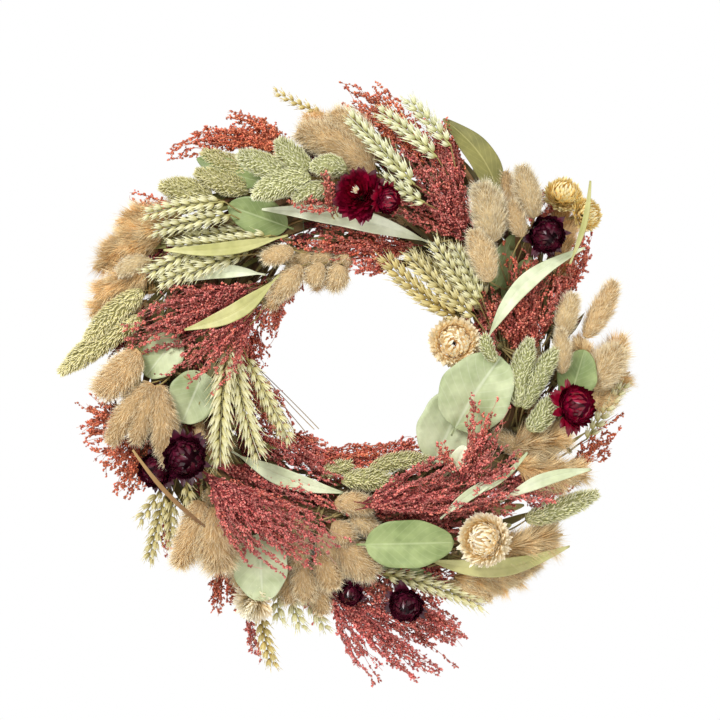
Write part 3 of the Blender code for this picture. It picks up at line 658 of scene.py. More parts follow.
# ---------------------------------------------------------------- heads

TAIL_OUTLINE = ((0, 0.28), (0.12, 0.68), (0.36, 0.98), (0.6, 0.95), (0.84, 0.62), (1, 0.10))
CONE_OUTLINE = ((0, 0.25), (0.13, 0.78), (0.42, 1.0), (0.75, 0.82), (1, 0.18))
CORE_STEPS, CORE_SIDES = 12, 12
FLATNESS = {"phalaris": 0.85, "bunny": 0.85, "plume": 0.6, "broom": 0.6}

# hairs on a bunny tail of this length and width, and the fewest and most on any
TAIL_HAIRS, TAIL_LENGTH, TAIL_WIDTH = 2100, 0.045, 0.022
FEWEST_HAIRS, MOST_HAIRS = 700, 4600
TAIL_HAIR_WIDTH, PLUME_HAIR_WIDTH = 0.00036, 0.00042
PLUME_TUFTS, HAIRS_PER_TUFT = 64, 72
# scales on a canary grass head of this length and width
CONE_SCALES, CONE_LENGTH, CONE_WIDTH = 640, 0.04, 0.02
# the step from spikelet to spikelet, and (width, depth, length) of a glume on an ear this wide
SPIKELET_PITCH, EAR_WIDTH = 0.0034, 0.016
GLUME_SIZE = (0.0036, 0.0038, 0.0112)
AWN_WIDTH = 0.0006
# lean to the side, lean to the front, length and place across the spikelet of each glume
SPIKELET = (
    (0.62, 0.10, 1.0, 0.5), (0.42, 0.42, 0.95, 0.25), (0.42, -0.35, 0.95, 0.25),
    (0.22, 0.24, 1.05, 0.0), (0.18, -0.2, 1.0, 0.0),
)
# broom corn: branches of a spray, stations on a branch, and the step from twig to twig
SPRAY_BRANCHES, SPARSE_BRANCHES, BRANCH_STEPS = 17, 7, 9
TWIG_PITCH, TWIG_WIDTH = 0.0036, 0.0005
# where the seeds sit on a twig, and their width and depth over their length
SEED_PLACES = (0.3, 0.68, 1.0)
SEED_WIDTH, SEED_DEPTH = 0.74, 0.68
# stems and the wire that ties them
STEM_STEPS, STEM_R, STEM_TIP_R = 8, 0.0008, 0.0006
TIE_TURNS, TIE_STEPS, TIE_R, TIE_WIRE_R, TIE_HALF_LENGTH = 3.4, 44, 0.0030, 0.0003, 0.0016


def add_core(shape, spine, width, outline, share, rng, tone, hue, flatness, along=0.15):
    """The body under the hairs or scales of a head."""
    t = np.linspace(0.0, 1.0, CORE_STEPS)
    turn = math.tau * np.arange(CORE_SIDES) / CORE_SIDES
    radius = profile(t, outline) * width / 2 * share
    rough = 1.0 + rng.normal(0.0, 0.05, (CORE_STEPS, CORE_SIDES))
    offsets = spine.around(turn, flatness)[None] * (radius[:, None] * rough)[..., None]
    points = (spine.at(t)[:, None] + offsets).reshape(-1, 3)
    faces = grid_faces(CORE_STEPS, CORE_SIDES, closed=True)
    shape.add(points, faces, along=along, tone=tone, hue=hue)


def on_head(count, rng, spine, width, outline, share, flatness, top=1.0):
    """Points spread evenly over a head: (fraction, outward, point)."""
    t = (np.arange(count) + 0.5) / count * top
    angle = np.arange(count) * GOLDEN_ANGLE + rng.normal(0.0, 0.15, count)
    outward = spine.around(angle, flatness)
    radius = profile(t, outline) * width / 2 * share
    return t, outward, spine.at(t) + outward * radius[:, None]


def add_tail(shape, spine, width, rng, hue):
    """A bunny tail: an oval body under soft hairs that point to the tip and stand out a little."""
    head_tone = rng.uniform(0.35, 0.65)
    flat = FLATNESS["bunny"]
    add_core(shape, spine, width, TAIL_OUTLINE, 0.80, rng, head_tone, hue, flat)
    count = int(TAIL_HAIRS * (spine.length / TAIL_LENGTH) * (width / TAIL_WIDTH))
    count = min(max(count, FEWEST_HAIRS), MOST_HAIRS)
    t, outward, roots = on_head(count, rng, spine, width, TAIL_OUTLINE, 0.74, flat, 0.97)
    lean = rng.uniform(0.5, 1.5, count)[:, None]
    direction = unit(spine.tangent(t) * 0.8 + outward * lean + rng.normal(0, 0.25, (count, 3)))
    lengths = width * rng.uniform(0.13, 0.29 + 0.07 * hue, count)
    bends = rng.normal(0.0, 0.0008, (count, 3)) + spine.axis * 0.0010
    clump = np.sin(t * 19.0 + rng.uniform(0, 6)) * np.sin(np.arange(count) * GOLDEN_ANGLE * 3.0)
    tone = np.clip(head_tone + 0.24 * clump + rng.normal(0.05, 0.18, count), 0, 1)
    hairs(shape, roots, direction, bends, lengths, TAIL_HAIR_WIDTH, rng, tone=tone, hue=hue)


def add_plume(shape, spine, width, rng, hue):
    """A feathery plume: long hairs in tufts that sweep toward the tip."""
    flat = FLATNESS["plume"]
    add_core(shape, spine, width, TAIL_OUTLINE, 0.30, rng, 0.3, hue, flat)
    tufts = PLUME_TUFTS
    tuft_t = rng.uniform(0.0, 0.8, tufts)
    tuft_turn = rng.uniform(0.0, math.tau, tufts)
    index = np.repeat(np.arange(tufts), HAIRS_PER_TUFT)
    count = len(index)
    t = np.clip(tuft_t[index] + rng.normal(0.0, 0.035, count), 0.0, 0.9)
    turn = tuft_turn[index] + rng.normal(0.0, 0.34, count)
    outward = spine.around(turn, flat)
    radius = profile(t, TAIL_OUTLINE) * width / 2
    roots = spine.at(t) + outward * (radius * 0.25)[:, None]
    lean = rng.uniform(0.15, 1.0, tufts)[index] + rng.normal(0.0, 0.16, count)
    direction = unit(spine.tangent(t) + outward * lean[:, None])
    direction = unit(direction + rng.normal(0.0, 0.16, (tufts, 3))[index])
    lengths = spine.length * rng.uniform(0.20, 0.38, count) * (1.0 - 0.35 * t)
    bends = outward * (width * rng.uniform(-0.08, 0.18, tufts)[index])[:, None]
    bends += rng.normal(0.0, 0.0014, (count, 3))
    tone = np.clip(rng.uniform(0.0, 1.0, tufts)[index] + rng.normal(0.0, 0.12, count), 0, 1)
    shade = np.clip(hue + rng.normal(0.0, 0.35, tufts)[index], 0, 1)
    hairs(shape, roots, direction, bends, lengths, PLUME_HAIR_WIDTH, rng, tone=tone, hue=shade)


def add_cone(shape, spine, width, rng, hue):
    """A canary grass head: pointed scales laid over each other from base to tip."""
    flat = FLATNESS["phalaris"]
    head_tone = rng.uniform(0.4, 0.6)
    # the core takes the darkest tone: painted shade in the gaps between the scales
    add_core(shape, spine, width, CONE_OUTLINE, 0.78, rng, 0.0, hue, flat, along=0.2)
    count = int(CONE_SCALES * (spine.length / CONE_LENGTH) * (width / CONE_WIDTH))
    t, outward, roots = on_head(count, rng, spine, width, CONE_OUTLINE, 0.80, flat)
    lean = rng.uniform(0.55, 1.35, count)[:, None]
    direction = unit(spine.tangent(t) + outward * lean + rng.normal(0, 0.14, (count, 3)))
    length = rng.uniform(0.0030, 0.0046, count)
    wide = rng.uniform(0.0012, 0.0017, count)
    sizes = np.stack([wide, wide * 0.8, length], axis=1)
    tone = np.clip(head_tone + rng.normal(0.1, 0.26, count), 0, 1)
    scatter(shape, SCALE, roots, frames_to(direction, outward), sizes, tone=tone, hue=hue)


def add_ear(shape, spine, width, rng, hue):
    """An ear of wheat: two rows of spikelets, each of five pointed glumes, up a thin rachis."""
    steps = np.linspace(0.0, 0.97, 10)
    radii = np.interp(steps, (0.0, 1.0), (0.0010, 0.0004))
    tubes(shape, spine.at(steps)[None], radii[None], 5, tone=0.3, hue=hue)
    count = max(int(spine.length * 0.9 / SPIKELET_PITCH), 6)
    t = np.linspace(0.02, 0.90, count)
    row = np.where(np.arange(count) % 2 == 0, 1.0, -1.0)
    size = np.interp(t, (0.0, 0.2, 0.7, 1.0), (0.75, 1.0, 0.95, 0.6)) * width / EAR_WIDTH
    glume_width, glume_depth, glume_length = GLUME_SIZE
    head_tone = rng.uniform(0.42, 0.62)
    for side_lean, front_lean, long, place in SPIKELET:
        aside = spine.side * (row * side_lean + rng.normal(0, 0.05, count))[:, None]
        ahead = spine.front * (front_lean + rng.normal(0.0, 0.07, count))[:, None]
        direction = unit(spine.tangent(t) + aside + ahead)
        roots = spine.at(t) + spine.side * (row * width * (0.07 + 0.10 * place))[:, None]
        roots = roots + spine.front * (np.sign(front_lean) * width * 0.05)
        length = glume_length * long * size * rng.uniform(0.9, 1.1, count)
        sizes = np.stack([glume_width * size, glume_depth * size, length], axis=1)
        tone = np.clip(head_tone + rng.normal(0.0, 0.14, count), 0, 1)
        frames = frames_to(direction, unit(aside + ahead))
        scatter(shape, GLUME, roots, frames, sizes, tone=tone, hue=hue)
        awns = unit(direction + rng.normal(0.0, 0.05, (count, 3)))
        hairs(shape, roots + direction * length[:, None] * 0.93, awns, aside * 0.0004,
              length * rng.uniform(0.3, 0.65, count), AWN_WIDTH, rng, tone=0.8, hue=hue)


def spray_paths(spine, width, rng, branches):
    """The branches of a spray, which leave its stem one by one and fan out."""
    spread = rng.uniform(-1.0, 1.0, branches)
    deep = rng.uniform(-1.0, 1.0, branches) * np.sqrt(1.0 - spread * spread * 0.9)
    ends = rng.uniform(0.62, 1.02, branches) * (1.0 - 0.18 * spread * spread)
    ends[0] = 1.0
    start = rng.uniform(-0.08, 0.22, branches)
    t = start[:, None] + (ends - start)[:, None] * np.linspace(0.0, 1.0, BRANCH_STEPS)
    fan = np.sin(np.clip(t * 1.5, 0.0, 1.0) * math.pi / 2) * np.interp(t, (0.7, 1.05), (1.0, 0.7))
    depth = width * FLATNESS["broom"]
    paths = spine.at(t) + spine.side * (spread[:, None] * width * 0.42 * fan)[..., None]
    paths = paths + spine.front * (deep[:, None] * depth / 2 * fan)[..., None]
    wander = rng.normal(0.0, 0.0012, (branches, BRANCH_STEPS, 3))
    wander[:, 0] = 0.0
    return paths + wander


def points_on(paths, where):
    """(points, tangents) at these places along each path, counted in its steps."""
    low = np.minimum(where.astype(int), paths.shape[1] - 2)
    part = (where - low)[..., None]
    rows = np.arange(len(paths))[:, None]
    before, after = paths[rows, low], paths[rows, low + 1]
    points = before * (1 - part) + after * part
    return points.reshape(-1, 3), unit(after - before).reshape(-1, 3)


def add_spray(shape, spine, width, rng, hue, sparse=False):
    """A spray of broom corn: thin branches that fan out, with seeds on short twigs."""
    branches = SPARSE_BRANCHES if sparse else SPRAY_BRANCHES
    steps = BRANCH_STEPS
    paths = spray_paths(spine, width, rng, branches)
    radii = np.broadcast_to(np.linspace(0.00045, 0.0002, steps), (branches, steps))
    tubes(shape, paths, radii, 3, tone=rng.uniform(0.0, 0.4, branches), hue=hue)
    per_branch = max(int(spine.length * 0.9 / TWIG_PITCH), 5)
    where = np.sort(rng.uniform(0.06, 1.0, (branches, per_branch)), axis=1) * (steps - 1)
    roots, tangent = points_on(paths, where)
    count = len(roots)
    aside = unit(np.cross(tangent, rng.normal(size=(count, 3))))
    twig = unit(tangent * 0.85 + aside * rng.uniform(0.25, 0.75, count)[:, None])
    strand_tone = np.repeat(rng.normal(0.0, 0.22, branches), per_branch)
    strand_hue = np.repeat(rng.normal(0.0, 0.15, branches), per_branch)
    reach = rng.uniform(0.0018, 0.0056, count) * np.interp(where.ravel(), (0.0, steps), (1.1, 0.6))
    hairs(shape, roots, twig, twig * 0.0, reach, TWIG_WIDTH, rng, tone=0.3, hue=hue)
    for share in SEED_PLACES:
        place = roots + twig * (reach * share)[:, None] + rng.normal(0.0, 0.0004, (count, 3))
        direction = unit(twig + rng.normal(0.0, 0.65, (count, 3)))
        length = rng.uniform(0.0021, 0.0032, count)
        sizes = np.stack([length * SEED_WIDTH, length * SEED_DEPTH, length], axis=1)
        tone = np.clip(rng.beta(0.9, 1.1, count) + strand_tone, 0, 1)
        frames = frames_to(direction, rng.normal(size=(count, 3)))
        shade = np.clip(hue + strand_hue + rng.normal(0.0, 0.1, count), 0, 1)
        scatter(shape, SEED, place - direction * (length / 2)[:, None], frames, sizes,
                tone=tone, hue=shade)


HEADS = {"wheat": add_ear, "phalaris": add_cone, "bunny": add_tail, "plume": add_plume}


def add_stems(shape, foot, bases, rng, sweep):
    """Curved stems from the tied foot to each head, and their cut ends below the tie."""
    t = np.linspace(0.0, 1.0, STEM_STEPS)[:, None]
    for base in bases:
        sag = np.array((0.0, rng.uniform(0.005, 0.009), 0.0)) + rng.normal(0.0, 0.0012, 3)
        shift = rng.normal(0.0, 0.0014, 3)
        path = foot + shift + (base - foot - shift) * t + sag * 4 * t * (1 - t)
        radii = np.linspace(STEM_R, STEM_TIP_R, STEM_STEPS)
        tubes(shape, path[None], radii[None], 5, slot=1, tone=rng.uniform(0.2, 0.9), hue=0.3)
        end = foot + shift - sweep * rng.uniform(0.010, 0.022) + rng.normal(0.0, 0.002, 3)
        tail = foot + shift + (end - foot - shift) * t[::2]
        tubes(shape, tail[None], np.full((1, len(tail)), STEM_R), 5, slot=1, tone=0.4, hue=0.3)


def add_tie(shape, foot, axis):
    """A few turns of wire round the foot of a bunch."""
    side = unit(np.cross(axis, -FORWARD))
    front = np.cross(axis, side)
    angle = np.linspace(0.0, math.tau * TIE_TURNS, TIE_STEPS)
    path = foot + (side * np.cos(angle)[:, None] + front * np.sin(angle)[:, None]) * TIE_R
    path = path + axis * np.linspace(-TIE_HALF_LENGTH, TIE_HALF_LENGTH, TIE_STEPS)[:, None]
    tubes(shape, path[None], np.full((1, TIE_STEPS), TIE_WIRE_R), 4, slot=1, tone=0.1, hue=0.0)


# ---------------------------------------------------------------- leaves


LEAF_THICKNESS, BACK_LEAF_THICKNESS = 0.00045, 0.0004
STALK_HALF_WIDTH, STALK_SHARE = 0.0008, 0.1


def leaf_half_width(t, width, bluntness):
    """Half the blade's width at fraction t of its length, with a slim stalk at the foot."""
    along = np.clip((t - STALK_SHARE) / 0.9, 0.0, 1.0)
    swell = np.sin(math.pi * along ** 0.85)
    return STALK_HALF_WIDTH + width / 2 * np.maximum(swell, 0.0) ** bluntness


def add_leaf(shape, foot, tip, leaf, rng, hue, rows=34, columns=13):
    """A thin veined blade on a stalk, bowed, arched, cupped and a little wavy."""
    width, bow, arch, bluntness = leaf
    axis = unit(tip - foot)
    side = unit(np.cross(axis, -FORWARD))
    t = np.linspace(0.0, 1.0, rows)
    a = np.linspace(-1.0, 1.0, columns)
    hump = np.sin(math.pi * t)
    middle = foot + (tip - foot) * t[:, None] + side * (bow * MM * hump)[:, None]
    middle = middle + FORWARD * (arch * MM * hump)[:, None]
    half = leaf_half_width(t, width * MM, bluntness)
    edge = 1.0 + 0.025 * np.sin(t * rng.uniform(14, 20) + rng.uniform(0, 6))
    twist = rng.normal(0.0, 0.10) * t + rng.normal(0.0, 0.05)
    wave = rng.uniform(0.0, math.tau)
    waviness = 0.03 * np.sin(t * 11.0 + wave)[:, None] * a[None] ** 3
    lift = 0.16 * a[None] ** 2 + twist[:, None] * a[None] + waviness
    lift = lift - 0.10 * np.exp(-((a[None] / 0.10) ** 2))
    points = middle[:, None] + side * (half * edge)[:, None, None] * a[None, :, None]
    points = points + FORWARD * (half[:, None] * lift)[..., None]
    along = np.repeat(t, columns)
    shape.add(points.reshape(-1, 3), grid_faces(rows, columns), along=along,
              across=np.tile(a * 0.5 + 0.5, rows), tone=rng.uniform(0.35, 0.65), hue=hue)


def thicken(obj, thickness):
    """Give thin blades a real thickness."""
    solid = obj.modifiers.new("thickness", "SOLIDIFY")
    solid.thickness = thickness
    solid.offset = 0.0
    solid.use_rim = True


# ---------------------------------------------------------------- blooms

# how high the tuft sits over the middle, over the flower's radius
TUFT_HEIGHT = {"open": 0.30, "pleated": 0.68}
SKIRT_BRACTS, TUFT_FLORETS, CALYX_SCALES = 26, 34, 40
# any direction that no flower faces
HELPER = np.array((0.13, 0.21, 0.97))


def spokes(facing, turn):
    """Unit directions square to a flower's axis, at these turns about it."""
    first = unit(np.cross(facing, HELPER))
    second = np.cross(facing, first)
    return first * np.cos(turn)[:, None] + second * np.sin(turn)[:, None]


def open_form(u, radius):
    """(root, tip) of bracts as (out, up): tips spread from the middle out to the rim."""
    roots = np.stack([0.34 * radius * u, -0.32 * radius * u - 0.05 * radius], axis=1)
    tips = np.stack([
        radius * (0.13 + 0.90 * u ** 1.15),
        radius * (0.62 * (1.0 - u ** 2.2) - 0.10 * u)], axis=1)
    return roots, tips


def ball_form(u, radius, reach, overlap):
    """(root, tip) of bracts that lie over each other like tiles on a ball."""
    tip_turn = u * reach
    root_turn = tip_turn + overlap
    tips = np.stack([np.sin(tip_turn), np.cos(tip_turn) * 0.85], axis=1) * radius
    roots = np.stack([np.sin(root_turn) * 0.72, np.cos(root_turn) * 0.62], axis=1) * radius
    return roots, tips


def add_bloom(shape, centre, facing, radius, bloom, rng):
    """A strawflower: papery pointed bracts in a spiral, from the middle out."""
    count = bloom["bracts"]
    i = np.arange(count)
    u = np.sqrt((i + 0.5) / count)
    turn = i * GOLDEN_ANGLE + rng.normal(0.0, 0.10, count)
    radial = spokes(facing, turn)
    if bloom["form"] == "open":
        roots, tips = open_form(u, radius)
        curl = np.interp(u, (0.0, 0.6, 1.0), (0.10, 0.0, -0.14))
    elif bloom["form"] == "pleated":
        roots, tips = ball_form(u, radius, 1.95, 0.42)
        curl = np.interp(u, (0.0, 0.25, 0.5, 1.0), (0.14, 0.02, -0.08, -0.16))
    else:
        roots, tips = ball_form(u, radius, 1.75, 0.75)
        curl = np.full(count, 0.10)
    jitter = 1.0 + rng.normal(0.0, 0.05, count)
    root = centre + radial * roots[:, :1] + facing * roots[:, 1:]
    tip = centre + (radial * tips[:, :1] + facing * tips[:, 1:]) * jitter[:, None]
    direction = tip - root
    length = np.linalg.norm(direction, axis=1)
    inward = facing * 0.7 - radial * 0.7
    wide = radius * bloom["width"] * 2.0 * (0.45 + 0.55 * u)
    sizes = np.stack([wide, np.ones(count), length], axis=1)
    sizes[:, 1] = length * np.where(np.abs(curl) < 0.02, 0.02, curl)
    tone = np.clip(0.5 + rng.normal(0.0, 0.33, count), 0, 1)
    hue = np.clip(u + bloom.get("shade", 0.0), 0, 1)
    scatter(shape, BRACT, root, frames_to(direction, inward), sizes, tone=tone, hue=hue)
    if bloom["form"] == "bud":
        add_skirt(shape, centre, facing, radius, rng)
    if bloom["tuft"]:
        add_tuft(shape, centre + facing * radius * TUFT_HEIGHT[bloom["form"]], facing, radius, rng)


def add_skirt(shape, centre, facing, radius, rng):
    """Longer outer bracts of a closed flower that have opened round part of its rim."""
    count = SKIRT_BRACTS
    turn = rng.uniform(0.0, math.tau) + rng.uniform(0.0, 4.2, count)
    radial = spokes(facing, turn)
    roots = centre + radial * radius * 0.45 - facing * radius * 0.25
    rise = rng.uniform(-0.35, 0.55, count)[:, None]
    direction = unit(radial + facing * rise)
    length = radius * rng.uniform(0.60, 0.95, count)
    sizes = np.stack([radius * rng.uniform(0.3, 0.42, count), length * -0.12, length], axis=1)
    scatter(shape, BRACT, roots, frames_to(direction, facing), sizes,
            tone=rng.uniform(0.4, 1.0, count), hue=0.6)


def add_tuft(shape, centre, facing, radius, rng):
    """The small pale florets in the middle of an open strawflower."""
    count = TUFT_FLORETS
    i = np.arange(count)
    turn = i * GOLDEN_ANGLE
    out = np.sqrt((i + 0.5) / count)[:, None]
    radial = spokes(facing, turn)
    roots = centre + radial * out * radius * 0.05
    direction = unit(facing + radial * out * rng.uniform(0.2, 0.9, (count, 1)))
    length = rng.uniform(0.16, 0.30, count) * radius
    sizes = np.stack([length * 0.15, length * 0.15, length], axis=1)
    scatter(shape, BEAD, roots, frames_to(direction, radial), sizes, slot=1,
            tone=rng.uniform(0.6, 1.0, count), hue=0.2)


def add_calyx(shape, centre, facing, radius, rng):
    """The stem and the papery under-scales of a flower."""
    steps = 6
    t = np.linspace(0.0, 1.0, steps)[:, None]
    end = centre - facing * radius * 1.25 + np.array((0.0, 0.004, 0.0))
    path = centre - facing * radius * 0.25 + (end - centre + facing * radius * 0.25) * t
    tubes(shape, path[None], np.full((1, steps), 0.0010), 6, slot=2, tone=0.4, hue=0.2)
    count = CALYX_SCALES
    turn = np.arange(count) * GOLDEN_ANGLE
    down = np.linspace(0.1, 1.0, count)
    radial = spokes(facing, turn)
    roots = centre - facing * (radius * (0.28 + 0.32 * down))[:, None] + radial * radius * 0.12
    direction = unit(radial + facing * (0.55 - 0.2 * down)[:, None])
    length = radius * rng.uniform(0.45, 0.7, count)
    sizes = np.stack([length * 0.55, length * 0.1, length], axis=1)
    scatter(shape, BRACT, roots, frames_to(direction, facing + radial * 0.1), sizes,
            tone=rng.uniform(0.2, 0.6, count), hue=1.0)


# ---------------------------------------------------------------- bundle and filler

BUNDLE_STEMS, DRY_BLADES, DRY_BLADE_STEPS = 230, 70, 14
FILLER_SPRAYS, FILLER_BLADES, FILLER_TAILS, BACK_LEAVES = 112, 900, 46, 96
# radius of the foot, lean away from the ring's middle and length of each row of back leaves
BACK_ROWS = (
    (0.108, -0.35, 0.022), (0.142, 0.15, 0.034), (0.160, 0.35, 0.038), (0.170, 0.12, 0.034),
)
# where the loose awns start, and the middle and end of each
AWN_ROOT = (279, 92)
AWNS = (
    ((240, 61), (208, 62)), ((238, 65), (213, 67)), ((243, 59), (205, 60)), ((236, 68), (218, 72)),
)
LOOSE_AWN_R, LOOSE_AWN_STEPS = 0.00035, 16


def bundle_point(clock, across, depth):
    """A place in the bundle's section: across and depth run from -1 to 1."""
    radius = BUNDLE_R + across * BUNDLE_HALF_WIDTH
    turn = np.radians(clock)
    x, z = radius * np.sin(turn), RING_CENTRE_Z + radius * np.cos(turn)
    return np.stack([x, BUNDLE_Y + depth * BUNDLE_HALF_DEPTH, z], axis=-1)


def rounded(turn, exponent=2.6):
    """(across, depth) on a rounded rectangle of half sides 1."""
    c, s = np.cos(turn), np.sin(turn)
    power = 2.0 / exponent
    return np.sign(c) * np.abs(c) ** power, np.sign(s) * np.abs(s) ** power


def add_bundle_core(shape, rng):
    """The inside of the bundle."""
    around, sides, share = 180, 20, 0.86
    clock = 360.0 * np.arange(around) / around
    across, depth = rounded(math.tau * np.arange(sides) / sides)
    rough = share + rng.normal(0.0, 0.03, (around, sides))
    points = bundle_point(clock[:, None], across[None] * rough, depth[None] * rough)
    i, j = np.meshgrid(np.arange(around), np.arange(sides), indexing="ij")
    a, b = i * sides + j, i * sides + (j + 1) % sides
    c, d = ((i + 1) % around) * sides + (j + 1) % sides, ((i + 1) % around) * sides + j
    first, second = np.stack([a, b, c], -1), np.stack([a, c, d], -1)
    faces = np.concatenate([first.reshape(-1, 3), second.reshape(-1, 3)])
    # the inside takes the darkest tone of the stems paint: painted shade inside the bundle
    shape.add(points.reshape(-1, 3), faces, tone=0.0, hue=1.0)


def add_bundle_stems(shape, rng):
    """Loose stems that run round the ring, each over part of it."""
    stems, steps = BUNDLE_STEMS, 26
    start = rng.uniform(0.0, 360.0, stems)
    span = rng.uniform(45.0, 130.0, stems)
    t = np.linspace(0.0, 1.0, steps)
    clock = start[:, None] + span[:, None] * t
    turn = rng.uniform(0.0, math.tau, stems)[:, None] + rng.normal(0.0, 0.35, stems)[:, None] * t
    share = rng.uniform(0.84, 0.97, stems)[:, None] + 0.02 * np.sin(t * 9.0 + start[:, None])
    across, depth = rounded(turn)
    paths = bundle_point(clock, across * share, depth * share)
    radii = rng.uniform(0.0007, 0.0015, stems)[:, None] * np.linspace(1.0, 0.6, steps)
    tubes(shape, paths, radii, 6, tone=rng.uniform(0.1, 1.0, stems), hue=rng.uniform(0, 1, stems))


def add_dry_blades(shape, rng):
    """Flat dry blades of grass laid along the bundle."""
    steps = DRY_BLADE_STEPS
    for _ in range(DRY_BLADES):
        clock, span = rng.uniform(0.0, 360.0), rng.uniform(14.0, 34.0)
        t = np.linspace(0.0, 1.0, steps)
        turn = rng.uniform(0.0, math.tau)
        across, depth = rounded(np.array((turn, turn + 0.22)))
        share = rng.uniform(0.93, 1.02)
        edge = np.sin(math.pi * np.clip(t * 0.94 + 0.04, 0, 1)) ** 0.6
        rows = []
        for k in (0, 1):
            swing = (across.mean() + (across[k] - across.mean()) * edge) * share
            deep = (depth.mean() + (depth[k] - depth.mean()) * edge) * share
            rows.append(bundle_point(clock + span * t, swing, deep))
        points = np.stack(rows, axis=1).reshape(-1, 3)
        shape.add(points, grid_faces(steps, 2), along=np.repeat(t, 2), tone=rng.uniform(0.3, 1.0),
                  hue=rng.uniform(0, 1))


def sweep_at(clock):
    """The way that the picks point at this bearing: anticlockwise as seen from the front."""
    turn = math.radians(clock)
    return np.array((-math.cos(turn), 0.0, math.sin(turn)))


def outward_at(clock):
    turn = math.radians(clock)
    return np.array((math.sin(turn), 0.0, math.cos(turn)))


def filler_place(rng, inner, outer):
    """(point, direction) of a filler pick somewhere on the band, below the crown."""
    clock = rng.uniform(0.0, 360.0)
    radius = rng.uniform(inner, outer)
    tilt = (radius - BUNDLE_R) / 0.05
    y = crown_y(radius) + rng.uniform(0.002, 0.012)
    direction = sweep_at(clock) + outward_at(clock) * (tilt * 0.55 + rng.normal(0.0, 0.22))
    direction = direction + FORWARD * rng.uniform(-0.30, 0.12)
    return polar(clock, radius, min(y, -0.004)), unit(direction)


def make_filler_sprays():
    """Short sprays that close the gaps behind the picks, in a darker copy of the broom corn paint: painted
    shade.
    """
    rng = random_for("filler_sprays")
    shape = Shape()
    for _ in range(FILLER_SPRAYS):
        foot, direction = filler_place(rng, 0.094, 0.182)
        spine = Spine(foot, foot + direction * rng.uniform(0.024, 0.038), rng)
        add_spray(shape, spine, rng.uniform(0.012, 0.020), rng, rng.uniform(0.0, 0.5), sparse=True)
    return shape.build("filler_sprays", [LOOKS["broom_painted_shade"], LOOKS["stems"]])


def make_filler_blades():
    """Narrow dry leaves and stalks between the picks."""
    rng = random_for("filler_blades")
    shape = Shape()
    count = FILLER_BLADES
    origins, directions = zip(*(filler_place(rng, 0.100, 0.176) for _ in range(count)))
    directions = np.array(directions)
    hints = FORWARD + rng.normal(0.0, 0.5, (count, 3))
    length = rng.uniform(0.020, 0.046, count)
    wide = rng.uniform(0.003, 0.008, count)
    sizes = np.stack([wide, length * rng.normal(0, 0.12, count), length], axis=1)
    scatter(shape, BLADE, np.array(origins), frames_to(directions, hints), sizes,
            tone=rng.uniform(0.0, 0.8, count), hue=rng.uniform(0, 1, count))
    return shape.build("filler_blades", [LOOKS["filler_leaf"]])


def make_filler_tails():
    """Short tails between the heads."""
    rng = random_for("filler_fluff")
    shape = Shape()
    for _ in range(FILLER_TAILS):
        foot, direction = filler_place(rng, 0.104, 0.180)
        spine = Spine(foot, foot + direction * rng.uniform(0.020, 0.030), rng)
        add_tail(shape, spine, rng.uniform(0.010, 0.015), rng, rng.uniform(0.5, 1.0))
    return shape.build("filler_tails", [LOOKS["bunny_tail"]])


def make_back_leaves():
    """Broad leaves and dry blades that stand out at the back and sides of the bundle."""
    rng = random_for("back_leaves")
    shape = Shape()
    for k in range(BACK_LEAVES):
        clock = 360.0 * k / BACK_LEAVES + rng.uniform(-3, 3)
        radius, lean, length = BACK_ROWS[k % len(BACK_ROWS)]
        foot = polar(clock, radius, rng.uniform(-0.022, -0.008))
        direction = unit(sweep_at(clock) + outward_at(clock) * (lean + rng.normal(0.0, 0.22)))
        direction = unit(direction + FORWARD * rng.uniform(-0.10, 0.35))
        length *= rng.uniform(0.6, 1.3)
        leaf = (rng.uniform(6, 17), rng.normal(0, 3), rng.uniform(-3, 4), rng.uniform(0.6, 1.1))
        add_leaf(shape, foot, foot + direction * length, leaf, rng, rng.uniform(0, 0.9), 14, 5)
    obj = shape.build("back_leaves", [LOOKS["leaf_olive"]])
    thicken(obj, BACK_LEAF_THICKNESS)
    return obj


def make_awns():
    """Long thin awns that curve down the inside of the ring at the lower left."""
    rng = random_for("awns")
    shape = Shape()
    t = np.linspace(0.0, 1.0, LOOSE_AWN_STEPS)[:, None]
    radii = np.full((1, LOOSE_AWN_STEPS), LOOSE_AWN_R)
    root = on_crown(AWN_ROOT, -0.006)
    for middle, end in AWNS:
        a, b = root + rng.normal(0.0, 0.002, 3), on_crown(end, 0.006)
        through = on_crown(middle, 0.004) * 2.0 - (a + b) / 2
        path = a * (1 - t) ** 2 + through * 2 * t * (1 - t) + b * t ** 2
        tubes(shape, path[None], radii, 4, tone=rng.uniform(0.2, 0.7), hue=0.6)
    return shape.build("awns", [LOOKS["stems"]])


# ---------------------------------------------------------------- materials


def srgb(red, green, blue):
    """The linear colour of these 8-bit display values."""
    def linear(value):
        share = value / 255.0
        return share / 12.92 if share <= 0.04045 else ((share + 0.055) / 1.055) ** 2.4
    return (linear(red), linear(green), linear(blue), 1.0)


